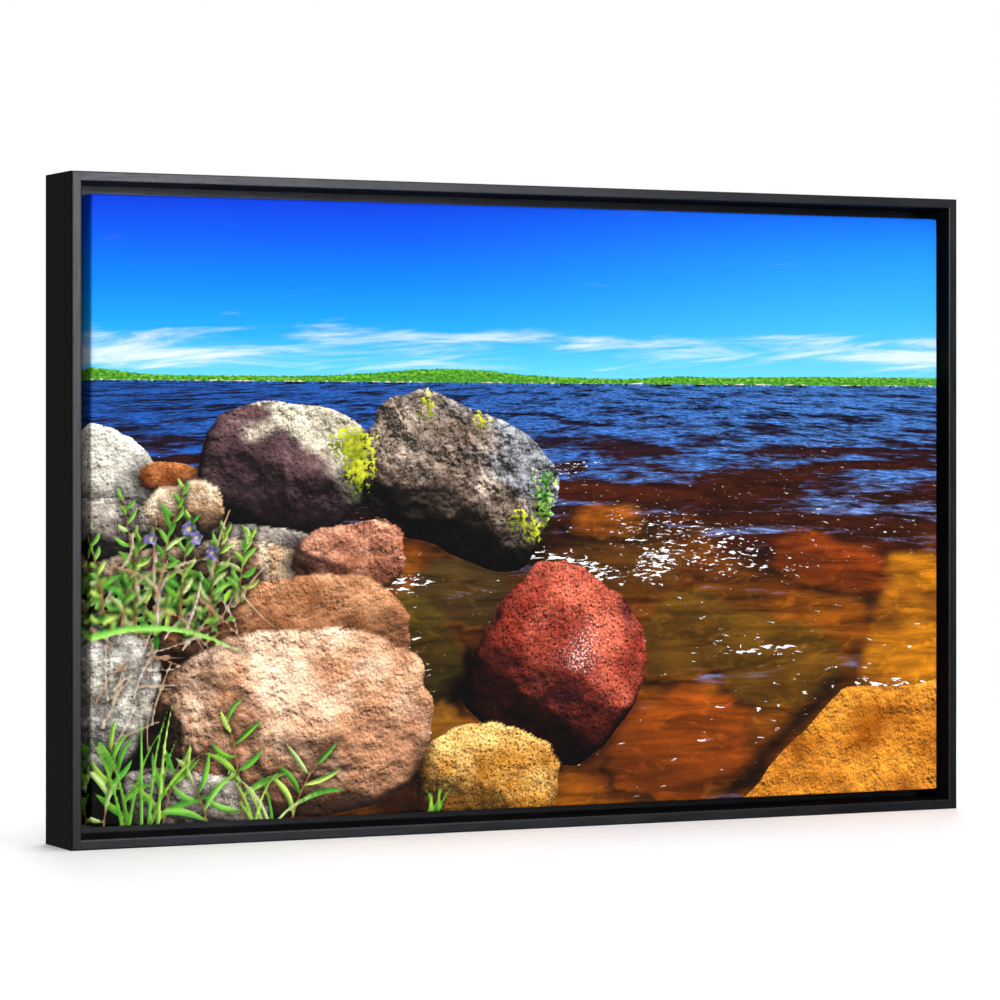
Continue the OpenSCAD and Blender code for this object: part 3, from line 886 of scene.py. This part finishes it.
def make_canvas(material):
    """The stretched canvas: one cut sheet over the bars, printed on its front and sides."""
    sheet, cols, rows = canvas_shape()
    mesh = bpy.data.meshes.new("canvas_sheet")
    faces = [tuple(int(v) for v in face) for face in sheet.faces]
    mesh.from_pydata(np.concatenate(sheet.points).tolist(), [], faces)
    mesh.validate()
    picture = np.concatenate(sheet.picture)
    bleed = np.concatenate(sheet.bleed)
    gx, gz = np.meshgrid((cols + 1) / 2 * ASPECT, (rows + 1) / 2)
    for name, values in Picture(gx, gz).layers().items():
        store(mesh, name, sampled(values, cols, rows, picture))
    store(mesh, "spot", np.column_stack([picture, bleed / MM]))
    store(mesh, "thread", np.concatenate(sheet.threads) / MM)
    canvas = new_piece("stretched_canvas", mesh, material)
    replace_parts(canvas, "canvas_print")


# ---------------------------------------------------------------- the staples

STAPLE_W = 10 * MM
STAPLE_LEG = 5 * MM
WIRE_HALF_W = 0.6 * MM
WIRE_HALF_T = 0.25 * MM
WIRE_BEND = 0.8 * MM
SQUARENESS = 0.5


def wire_section():
    """The staple wire's rounded flat section, as (across, up) offsets."""
    angles = np.linspace(0, 2 * math.pi, 12, endpoint=False)
    c, s = np.cos(angles), np.sin(angles)
    across = np.sign(c) * np.abs(c) ** SQUARENESS * WIRE_HALF_W
    up = np.sign(s) * np.abs(s) ** SQUARENESS * WIRE_HALF_T
    return list(zip(across, up))


def staple_path():
    """The staple's middle line as (along, up, along normal, up normal): leg, bend, crown, bend, leg."""
    half = STAPLE_W / 2 - WIRE_HALF_T
    path = [(half, -STAPLE_LEG, 1.0, 0.0)]
    for a in np.radians((0, 30, 60, 90)):
        c, s = math.cos(a), math.sin(a)
        path.append((half - WIRE_BEND + WIRE_BEND * c, WIRE_BEND * (s - 1), c, s))
    return path + [(-along, up, -na, nu) for along, up, na, nu in reversed(path)]


def add_staple(shape, middle, along, across):
    """Adds one staple. along and across are the directions of its crown and of its wire's width."""
    out = np.array((0.0, 1.0, 0.0))
    section = wire_section()
    rings = []
    for a, u, na, nu in staple_path():
        normal = na * along + nu * out
        centre = middle + a * along + (u + WIRE_HALF_T) * out
        rings.append([shape.verts.new(centre + w * across + t * normal) for w, t in section])
    for one, two in zip(rings, rings[1:]):
        for k in range(len(section)):
            n = (k + 1) % len(section)
            shape.faces.new((one[k], one[n], two[n], two[k]))
    shape.faces.new(rings[0])
    shape.faces.new(rings[-1])


def make_staples(material):
    """A row of wire staples along each flap, driven by hand, so none is quite straight."""
    random = np.random.default_rng(SEED + 4)
    low, high = corners("canvas_staples")
    middle_z = (cad_box[0][2] + cad_box[1][2]) / 2
    top_y = CANVAS_HIGH[1] - 0.05 * MM
    rows = [(0, FRAME_W, low[2] + WIRE_HALF_W), (0, FRAME_W, high[2] - WIRE_HALF_W)]
    rows += [(2, FRAME_H, low[0] + WIRE_HALF_W), (2, FRAME_H, high[0] - WIRE_HALF_W)]
    shape = bmesh.new()
    for axis, side, line in rows:
        for place in staple_places(side):
            turn = math.radians(random.uniform(-7, 7))
            along, across = np.zeros(3), np.zeros(3)
            along[axis], along[2 - axis] = math.cos(turn), math.sin(turn)
            across[axis], across[2 - axis] = -math.sin(turn), math.cos(turn)
            spot = np.array((line, top_y, middle_z + place) if axis else (place, top_y, line))
            add_staple(shape, spot + random.uniform(-0.5, 0.5) * MM * across, along, across)
    bmesh.ops.recalc_face_normals(shape, faces=shape.faces)
    mesh = bpy.data.meshes.new("wire_staples")
    shape.to_mesh(mesh)
    shape.free()
    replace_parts(new_piece("wire_staples", mesh, material), "canvas_staples")


# ---------------------------------------------------------------- node materials


class Wire:
    """A number in a node tree. Sums and products of wires add math nodes."""

    def __init__(self, look, socket):
        self.look, self.socket = look, socket

    def __add__(self, other):
        return self.look.math("ADD", self, other)

    def __sub__(self, other):
        return self.look.math("SUBTRACT", self, other)

    def __rsub__(self, other):
        return self.look.math("SUBTRACT", other, self)

    def __mul__(self, other):
        return self.look.math("MULTIPLY", self, other)

    def __truediv__(self, other):
        return self.look.math("DIVIDE", self, other)

    __radd__ = __add__
    __rmul__ = __mul__


class Look:
    """A procedural material with one Principled shader."""

    def __init__(self, name, **sockets):
        self.material = bpy.data.materials.new(name)
        self.material.use_nodes = True
        self.tree = self.material.node_tree
        self.shader = self.tree.nodes["Principled BSDF"]
        for key, value in sockets.items():
            self.put(self.shader.inputs[key.replace("_", " ")], value)

    def put(self, socket, value):
        if isinstance(value, Wire):
            self.tree.links.new(value.socket, socket)
        elif value is not None:
            socket.default_value = value

    def node(self, kind, inputs, out=0, **settings):
        node = self.tree.nodes.new("ShaderNode" + kind)
        for key, value in settings.items():
            setattr(node, key, value)
        for key, value in inputs.items():
            self.put(node.inputs[key], value)
        return Wire(self, node.outputs[out])

    def math(self, operation, a, b=None):
        return self.node("Math", {0: a, 1: b}, operation=operation)

    def layer(self, name, out=1):
        """A layer kept on the mesh: out is 1 for a vector or colour, and 2 for a number."""
        return self.node("Attribute", {}, out, attribute_name=name)

    def parts(self, vector):
        """The three numbers of a vector."""
        split = self.node("SeparateXYZ", {0: vector})
        return [Wire(self, split.socket.node.outputs[k]) for k in range(3)]

    def vector(self, x, y, z=0.0):
        return self.node("CombineXYZ", {0: x, 1: y, 2: z})

    def moved(self, vector, by):
        """A vector with another added."""
        return self.node("VectorMath", {0: vector, 1: by}, operation="ADD")

    def places(self, stretch=(1, 1, 1), turn=0.0):
        """The piece's own coordinates, stretched."""
        own = self.node("TexCoord", {}, out=3)
        return self.node("Mapping", {0: own, 2: (0, turn, 0), 3: stretch})

    def noise(self, vector, scale, detail=2.0, rough=0.5, distort=0.0):
        names = ("Vector", "Scale", "Detail", "Roughness", "Distortion")
        return self.node("TexNoise", dict(zip(names, (vector, scale, detail, rough, distort))))

    def cells(self, vector, scale, feature="F1"):
        return self.node("TexVoronoi", {"Vector": vector, "Scale": scale}, feature=feature)

    def step(self, value, low, high, start=0.0, end=1.0):
        """A smooth step from start, at low, to end, at high."""
        inputs = {0: value, 1: low, 2: high, 3: start, 4: end}
        return self.node("MapRange", inputs, interpolation_type="SMOOTHSTEP")

    def mix(self, share, a, b, blend="MIX"):
        """Blends two colours."""
        a, b = self.rgba(a), self.rgba(b)
        return self.node("Mix", {0: share, 6: a, 7: b}, 2, data_type="RGBA", blend_type=blend)

    def rgba(self, value):
        if isinstance(value, str):
            return (*colour(value), 1.0)
        return value

    def scaled(self, tint, amount):
        """A colour made lighter or darker by a number."""
        return self.node("VectorMath", {0: tint, 3: amount}, operation="SCALE")

    def stops(self, value, stops):
        """A colour ramp over (place, web colour) stops."""
        wire = self.node("ValToRGB", {0: value})
        ramp_ends = wire.socket.node.color_ramp.elements
        while len(ramp_ends) < len(stops):
            ramp_ends.new(0.5)
        for element, (place, web) in zip(ramp_ends, stops):
            element.position = place
            element.color = self.rgba(web)
        return wire

    def bump(self, height, distance, strength=1.0, normal=None):
        inputs = {"Strength": strength, "Distance": distance, "Height": height, "Normal": normal}
        return self.node("Bump", inputs)

    def finish(self, base=None, roughness=None, normal=None):
        """Links the shader's colour, roughness and normal."""
        self.put(self.shader.inputs["Base Color"], base)
        self.put(self.shader.inputs["Roughness"], roughness)
        self.put(self.shader.inputs["Normal"], normal)
        return self.material


THREAD_PITCH = 0.62  # in mm, as the thread coordinates are


def print_look():
    """The canvas: a print in pigment over woven cotton, and bare cotton past its edge."""
    look = Look("printed_canvas", Specular_IOR_Level=0.07)
    spot = look.layer("spot")
    x, y, bleed = look.parts(spot)
    flat = look.vector(x, y)
    sheen_amount, sparkle, cloud = look.parts(look.layer("effects"))
    speckle, crag, gloss = look.parts(look.layer("grain"))
    water = water_paint(look, x, y, sheen_amount, sparkle)
    rock = rock_paint(look, flat, speckle, crag, gloss)
    ragged = look.noise(flat, 260, 3) - 0.5
    rock_mask = look.step(look.layer("rock", 2) + ragged * 0.004, -0.0007, 0.0007)
    shore = look.mix(rock_mask, water, rock)
    fuzz = look.layer("fuzz", 2)
    tips = look.noise(flat, 120, 4, 0.65) - 0.5
    leaf_grain = look.math("MAXIMUM", look.noise(flat, 300, 3) * 0.7 + 0.65 + tips * fuzz * 3.6, 0.1)
    leaves = look.scaled(look.layer("leaf_colour"), leaf_grain)
    leaf_mask = look.step(look.layer("leaf", 2) + tips * fuzz * 0.12, -0.0005, 0.0005)
    shore = look.mix(leaf_mask, shore, leaves)
    above = look.step(y + (look.noise(flat, 220, 2) - 0.5) * 0.002, HORIZON - 0.0003, HORIZON + 0.0005)
    scene = look.mix(above, shore, sky_paint(look, x, y, flat, cloud))
    thread = look.layer("thread")
    weave, slub = weave_height(look, thread)
    # Painted shade: the bare cotton and the print are darker where the weave is low, in the hollows between
    # threads. The slubs are the cotton's own uneven tone.
    cotton = look.stops(weave * 0.5 + slub * 0.5, [(0.2, "a89c84"), (0.5, "d8ccb4"), (0.8, "efe6d2")])
    inked = look.step(bleed + (look.noise(thread, 1.2, 3) - 0.5) * 0.5, -0.15, 0.15)
    shade = look.step(weave, 0.1, 0.6, 0.93, 1.0)
    base = look.mix(inked, cotton, look.scaled(scene, shade))
    normal = look.bump(weave * 0.8 + slub * 0.4, 0.12 * MM, 0.55)
    rough = look.step(weave, 0.0, 1.0, 0.72, 0.52)
    return look.finish(base, rough, normal)


def weave_height(look, thread):
    """Plain weave: crossing threads that pass over and under, with uneven thickness."""
    tx, ty, _ = look.parts(thread)
    wobble = (look.noise(thread, 0.35, 2) - 0.5) * 0.5
    a = (tx + wobble) * (math.pi / THREAD_PITCH)
    b = (ty + wobble) * (math.pi / THREAD_PITCH)
    warp = look.math("ABSOLUTE", look.math("SINE", a))
    weft = look.math("ABSOLUTE", look.math("SINE", b))
    over = look.math("MULTIPLY", look.math("COSINE", a), look.math("COSINE", b)) * 0.5 + 0.5
    height = warp * (0.4 + 0.6 * over) * 0.6 + weft * (1.0 - 0.6 * over) * 0.6
    slubs = [look.noise(look.vector(tx * p, ty * q), 1.0, 3) * 0.5 for p, q in ((0.12, 2.2), (2.2, 0.12))]
    return height, slubs[0] + slubs[1]


def sky_paint(look, x, y, flat, cloud):
    """Sky with streaks of high cloud, and the far shore with its trees."""
    streaks = look.noise(look.vector(x * 3.2 + y * 4.0, y * 34.0 - x * 2.6), 1.0, 7, 0.62, 0.55)
    wisps = look.step(streaks + cloud * 0.50, 0.64, 0.98)
    sky = look.mix(wisps * 0.9, look.layer("sky"), "e6edfb")
    trees = look.noise(look.vector(x * 150.0, y * 240.0), 1.0, 4, 0.6)
    land = look.layer("land", 2)
    green = look.stops(trees, [(0.30, "1c4410"), (0.45, "3c8418"), (0.58, "6cb42c"), (0.75, "a4d85c")])
    green = look.mix(look.step(land, 0.0, 0.016) * 0.5, green, "3c7c28")
    wavy = y + (look.noise(look.vector(x * 30.0, 0.0), 1.0, 3) - 0.5) * 0.012
    strand = look.step(wavy, HORIZON + 0.002, HORIZON + 0.0005)
    broken = look.step(look.noise(look.vector(x * 90.0, y * 90.0), 1.0, 2), 0.5, 0.6)
    green = look.mix(strand * broken, green, "e8dcc0")
    shore_mask = look.step(land + (look.noise(flat, 170, 3) - 0.5) * 0.007, -0.0004, 0.0006)
    return look.mix(shore_mask, sky, green)


def water_paint(look, x, y, sheen_amount, sparkle):
    """Water in perspective: the bed or the deep showing through, sky sheen, ripples and glints."""
    below = look.math("MAXIMUM", HORIZON - y, 0.003)
    u = (x - 0.9) / (below + 0.035) * 0.85
    v = look.math("LOGARITHM", below + 0.022, math.e) * 6.0
    wave = look.vector(u, v)
    swell = look.noise(wave, 1.0, 3, 0.5, 0.3)
    chop = look.noise(wave, 3.1, 7, 0.66, 0.5)
    ripple = look.noise(wave, 9.0, 5, 0.6, 0.8)
    level = swell * 0.55 + chop * 0.60 - 0.075 + (sheen_amount - 0.5) * 0.55
    glaze = look.step(level, 0.44, 0.60)
    tone = look.step(chop, 0.25, 0.75, 0.25, 1.9)
    bed = look.scaled(look.layer("bed"), tone)
    warm = look.step(look.noise(look.vector(x * 26.0, y * 52.0), 1.0, 5, 0.6, 0.6), 0.50, 0.72)
    bed = look.mix(warm * 0.55, bed, look.scaled(look.layer("bed"), 2.6))
    sheen = look.scaled(look.layer("sheen"), look.step(ripple, 0.28, 0.72, 0.18, 1.75))
    water = look.mix(glaze * look.step(ripple, 0.25, 0.65, 0.45, 1.0), bed, sheen)
    crest = look.noise(look.vector(u * 1.4, v * 0.62), 17.0, 4, 0.6, 0.6)
    foam = look.step(crest + sparkle * 0.20, 0.765, 0.80)
    foam = foam * look.step(chop + sparkle * 0.3, 0.58, 0.68)
    return look.mix(foam, water, "ffffff")


def emboss(look, flat, scale, detail, rough, shift):
    """How much the sun lights a noisy relief: the height less that of a point nearer the sun."""
    toward = look.moved(flat, (shift, 2.1 * shift, 0))
    return look.noise(flat, scale, detail, rough) - look.noise(toward, scale, detail, rough)


def rock_paint(look, flat, speckle, crag, gloss):
    """Stone: rough relief lit by the sun, crystals and pits, cracks, and wet glints."""
    paint = look.layer("rock_colour")
    patchy = look.step(look.noise(flat, 11, 4, 0.6), 0.35, 0.65, 0.35, 1.15)
    rough = emboss(look, flat, 70, 9, 0.66, 0.0016) * (3.4 + crag * 5.6) * patchy
    broad = emboss(look, flat, 17, 5, 0.6, 0.006) * (1.4 + crag * 4.0)
    grit = emboss(look, flat, 210, 4, 0.7, 0.0010) * (1.8 + speckle)
    stone = look.scaled(paint, look.math("MAXIMUM", 1.0 + rough + broad + grit, 0.10))
    stain = look.step(look.noise(flat, 38, 6, 0.7), 0.50, 0.66)
    stone = look.mix(stain * 0.45, stone, look.mix(1.0, stone, "b08a70", "MULTIPLY"))
    fine = look.noise(flat, 330, 4, 0.7)
    stone = look.mix(look.step(fine, 0.57, 0.68) * speckle * 0.8, stone, look.scaled(paint, 2.3))
    flecks = look.noise(flat, 190, 3, 0.75)
    wet = look.step(gloss, 0.05, 0.25)
    stone = look.scaled(stone, 1.0 - look.step(fine, 0.43, 0.34) * speckle * 0.75)
    stone = look.scaled(stone, 1.0 - look.step(flecks, 0.48, 0.39) * speckle * wet * 0.85)
    bent = look.moved(flat, look.noise(flat, 60, 3) * 0.03)
    crack = look.cells(bent, 34, "DISTANCE_TO_EDGE")
    pits = look.noise(flat, 120, 4, 0.6)
    stone = look.scaled(stone, 1.0 - look.step(crack, 0.07, 0.0) * crag * 0.6)
    stone = look.scaled(stone, 1.0 - look.step(pits, 0.42, 0.34) * crag * 0.85)
    glint = look.step(look.noise(flat, 230, 4, 0.7) + gloss * 0.16, 0.70, 0.76)
    glint = glint * look.step(gloss, 0.0, 0.5)
    bright = look.step(look.node("RGBToBW", {0: paint}), 0.05, 0.16)
    return look.mix(glint * bright, stone, "fff4f0")


GRAIN_STRETCH = {"x": (0.06, 1, 1), "z": (1, 1, 0.06)}


def lacquer_look(axis):
    """Satin black lacquer over fine wood grain that runs along a rail."""
    look = Look(f"frame_lacquer_{axis}", Specular_IOR_Level=0.32, Specular_Tint=(0.88, 0.91, 1.0, 1.0))
    along = look.places(GRAIN_STRETCH[axis])
    grain = look.noise(along, 900, 4, 0.6, 0.2)
    pores = look.step(look.noise(along, 2300, 2), 0.60, 0.68)
    cloudy = look.noise(look.places(), 22, 3)
    base = look.stops(grain * 0.6 + cloudy * 0.4, [(0.30, "060607"), (0.55, "0c0c0d"), (0.75, "151517")])
    rough = look.step(grain * 0.5 + cloudy * 0.5, 0.3, 0.7, 0.29, 0.39)
    peel = look.noise(look.places(), 1400, 2)
    normal = look.bump(grain * 0.6 + peel * 0.2 - pores * 0.7, 0.05 * MM, 0.5)
    return look.finish(base, rough, normal)


def timber_look(name, axis, stops, seed):
    """Planed softwood or beech: growth bands, fibres and a few knots."""
    look = Look(name, Specular_IOR_Level=0.3)
    own = look.places()
    shifted = look.moved(own, (seed, seed * 0.37, seed * 0.71))
    bend = look.noise(shifted, 6, 2, 0.5, 0.3)
    stretch = GRAIN_STRETCH[axis]
    along = look.node("Mapping", {0: shifted, 3: stretch})
    warped = look.moved(along, look.scaled(look.vector(bend, bend, bend), 0.02))
    bands = look.noise(warped, 170, 2, 0.5, 0.4)
    fibres = look.noise(along, 1500, 4, 0.7)
    oval = tuple(0.4 if share < 1 else 1 for share in stretch)
    knots = look.cells(look.node("Mapping", {0: shifted, 3: oval}), 14)
    knot = look.step(knots, 0.11, 0.03)
    rings = look.math("SINE", knots * 260.0) * 0.5 + 0.5
    base = look.stops(bands * 0.75 + fibres * 0.25, stops)
    base = look.mix(look.step(fibres, 0.52, 0.70) * 0.35, base, stops[0][1])
    base = look.mix(knot * 0.85, base, look.mix(rings * 0.5, "6a3c1c", "8a5a30"))
    rough = look.step(fibres, 0.3, 0.7, 0.52, 0.72)
    return look.finish(base, rough, look.bump(fibres * 0.6 + bands * 0.4, 0.10 * MM, 0.6))


def metal_look(name, dark, light, roughness, metallic=1.0):
    """Bare or plated metal: faint drawing marks, patches of tarnish and small dents."""
    look = Look(name, Metallic=metallic)
    own = look.places()
    patches = look.noise(own, 260, 4, 0.6)
    scratches = look.noise(look.places((0.05, 1, 1), 0.5), 3200, 2)
    base = look.stops(patches * 0.6 + scratches * 0.4, [(0.30, dark), (0.62, light)])
    rough = look.step(patches * 0.5 + scratches * 0.5, 0.3, 0.7, roughness, roughness + 0.14)
    return look.finish(base, rough, look.bump(patches * 0.6 + scratches * 0.4, 0.008 * MM, 0.4))


def rubber_look():
    """Soft grey bumper rubber with a matt, slightly dusty skin."""
    look = Look("bumper_rubber", Specular_IOR_Level=0.35)
    own = look.places()
    dust = look.noise(own, 420, 4, 0.6)
    base = look.stops(dust, [(0.32, "1c1c1e"), (0.55, "2a2a2c"), (0.75, "444446")])
    rough = look.step(dust, 0.3, 0.7, 0.62, 0.85)
    return look.finish(base, rough, look.bump(look.noise(own, 2600, 2), 0.05 * MM, 0.5))


PINE = [(0.30, "b98a54"), (0.45, "d9b27a"), (0.60, "ecd0a0"), (0.75, "f4e0b8")]
STRETCHERS = (("top", "x", 0.31), ("bottom", "x", 1.27), ("left", "z", 2.13), ("right", "z", 3.71))
BEECH = [(0.30, "a87448"), (0.50, "cc9c6c"), (0.70, "dcb488")]


def dress(nodes, material):
    """Gives CAD nodes a material."""
    for node in nodes:
        mesh = bpy.data.objects[node].data
        mesh.materials.clear()
        mesh.materials.append(material)


# ---------------------------------------------------------------- the set


# The camera, fitted to the frame's outline in the photograph: level, to its left, with a long lens.
CAMERA_PLACE = (-1.0208, -2.0740, 0.2269)
CAMERA_AZIMUTH = -25.90
CAMERA_LENS = 139.1
CAMERA_SHIFT = -0.0543
# Lights by name: place, the point that they face, width and height, and power in watts.
LIGHTS = {
    "key": ((0.60, -2.35, 0.90), (0, 0, 0.2), (0.7, 0.8), 24),
    "front": ((-1.05, -2.45, 0.75), (0, 0, 0.2), (0.9, 0.6), 34),
    "top": ((0.1, -0.2, 2.4), (0, 0, 0), (2.4, 2.0), 48),
    "back": ((0.9, 2.1, 1.5), (0, 0, 0.2), (1.6, 1.4), 38),
    "side": ((2.2, -0.5, 0.7), (0.3, 0, 0.2), (1.0, 1.0), 9),
    "gloss": ((0.40, -2.15, 0.40), (-0.1, 0, 0.2), (0.8, 0.8), 14),
}
# What is reflected: the glow goes from the first strength to the second as a ray turns down.
GLOW_FROM, GLOW_TO = -0.12, -0.40
GLOW_DIM, GLOW_BRIGHT = 0.07, 0.32
FLOOR_RADIUS = 3.0
FLOOR_FADE = (0.55, 1.25)


def build_camera():
    data = bpy.data.cameras.new("camera")
    data.lens = CAMERA_LENS
    data.shift_y = CAMERA_SHIFT
    data.clip_end = 100
    camera = bpy.data.objects.new("camera", data)
    camera.location = CAMERA_PLACE
    camera.rotation_euler = (math.radians(90), 0, math.radians(CAMERA_AZIMUTH))
    bpy.context.scene.collection.objects.link(camera)
    bpy.context.scene.camera = camera


def softbox(name, place, target, size, power):
    """A rectangular area light that faces a point."""
    data = bpy.data.lights.new(name, "AREA")
    data.shape = "RECTANGLE"
    data.size, data.size_y = size
    data.energy = power
    light = bpy.data.objects.new(name, data)
    light.location = place
    away = np.array(place) - np.array(target)
    flat = math.hypot(away[0], away[1])
    light.rotation_euler = (math.atan2(flat, away[2]), 0, math.atan2(away[0], -away[1]))
    light.visible_camera = False
    bpy.context.scene.collection.objects.link(light)
    return light


def build_world():
    """White behind the object, and a dim studio with a paler floor for what it reflects."""
    world = bpy.data.worlds.new("studio")
    bpy.context.scene.world = world
    world.use_nodes = True
    nodes, links = world.node_tree.nodes, world.node_tree.links
    background = nodes["Background"]
    seen = nodes.new("ShaderNodeBackground")
    seen.inputs["Color"].default_value = (1, 1, 1, 1)
    background.inputs["Color"].default_value = (0.98, 0.98, 1, 1)
    direction, split = nodes.new("ShaderNodeTexCoord"), nodes.new("ShaderNodeSeparateXYZ")
    glow = nodes.new("ShaderNodeMapRange")
    glow.interpolation_type = "SMOOTHSTEP"
    for socket, value in zip(glow.inputs[1:5], (GLOW_FROM, GLOW_TO, GLOW_DIM, GLOW_BRIGHT)):
        socket.default_value = value
    links.new(direction.outputs["Generated"], split.inputs[0])
    links.new(split.outputs[2], glow.inputs[0])
    links.new(glow.outputs[0], background.inputs["Strength"])
    path, choose = nodes.new("ShaderNodeLightPath"), nodes.new("ShaderNodeMixShader")
    links.new(path.outputs["Is Camera Ray"], choose.inputs[0])
    links.new(background.outputs[0], choose.inputs[1])
    links.new(seen.outputs[0], choose.inputs[2])
    links.new(choose.outputs[0], nodes["World Output"].inputs[0])


def build_floor():
    """A pale floor that fades into the white behind it."""
    mesh = bpy.data.meshes.new("floor")
    shape = bmesh.new()
    bmesh.ops.create_circle(shape, cap_ends=True, radius=FLOOR_RADIUS, segments=96)
    shape.to_mesh(mesh)
    shape.free()
    floor = bpy.data.objects.new("floor", mesh)
    bpy.context.scene.collection.objects.link(floor)
    look = Look("floor", Roughness=0.7, Specular_IOR_Level=0.15)
    own = look.node("TexCoord", {}, out=3)
    paper = look.noise(own, 60, 3)
    look.finish(look.stops(paper, [(0.3, "fdfdfd"), (0.7, "ffffff")]))
    far = look.step(look.node("VectorMath", {0: own}, 1, operation="LENGTH"), *FLOOR_FADE)
    clear = look.node("BsdfTransparent", {})
    blend_node = look.node("MixShader", {0: far, 1: Wire(look, look.shader.outputs[0]), 2: clear})
    look.tree.links.new(blend_node.socket, look.tree.nodes["Material Output"].inputs[0])
    mesh.materials.append(look.material)
    floor.visible_glossy = False


build_camera()
build_world()
build_floor()
lights = {name: softbox(name, *spec) for name, spec in LIGHTS.items()}
lights["gloss"].visible_diffuse = False
bpy.context.scene.view_settings.view_transform = "Standard"

make_canvas(print_look())
for axis, rails in (("x", ("top_rail", "bottom_rail")), ("z", ("left_stile", "right_stile"))):
    dress([f"frame_{rail}" for rail in rails], lacquer_look(axis))
for side, axis, seed in STRETCHERS:
    dress([f"stretcher_{side}_bar"], timber_look(f"pine_{side}", axis, PINE, seed))
dress([f"corner_key_{k}" for k in range(1, 9)], timber_look("beech_keys", "x", BEECH, 4.4))
dress(("frame_corner_nails",), metal_look("nail_steel", "6a6a6c", "a8a8aa", 0.35))
make_staples(metal_look("staple_steel", "b4b4b8", "dcdce0", 0.24))
dress(("mounting_screws",), metal_look("black_steel", "141416", "2c2c30", 0.34, 0.8))
plated = ("hanger_strap_left", "hanger_strap_right", "hanger_screws", "d_ring_left", "d_ring_right")
dress(plated, metal_look("plated_steel", "b4b1a8", "dcd9d2", 0.26))
dress(("wall_bumper_left", "wall_bumper_right"), rubber_look())
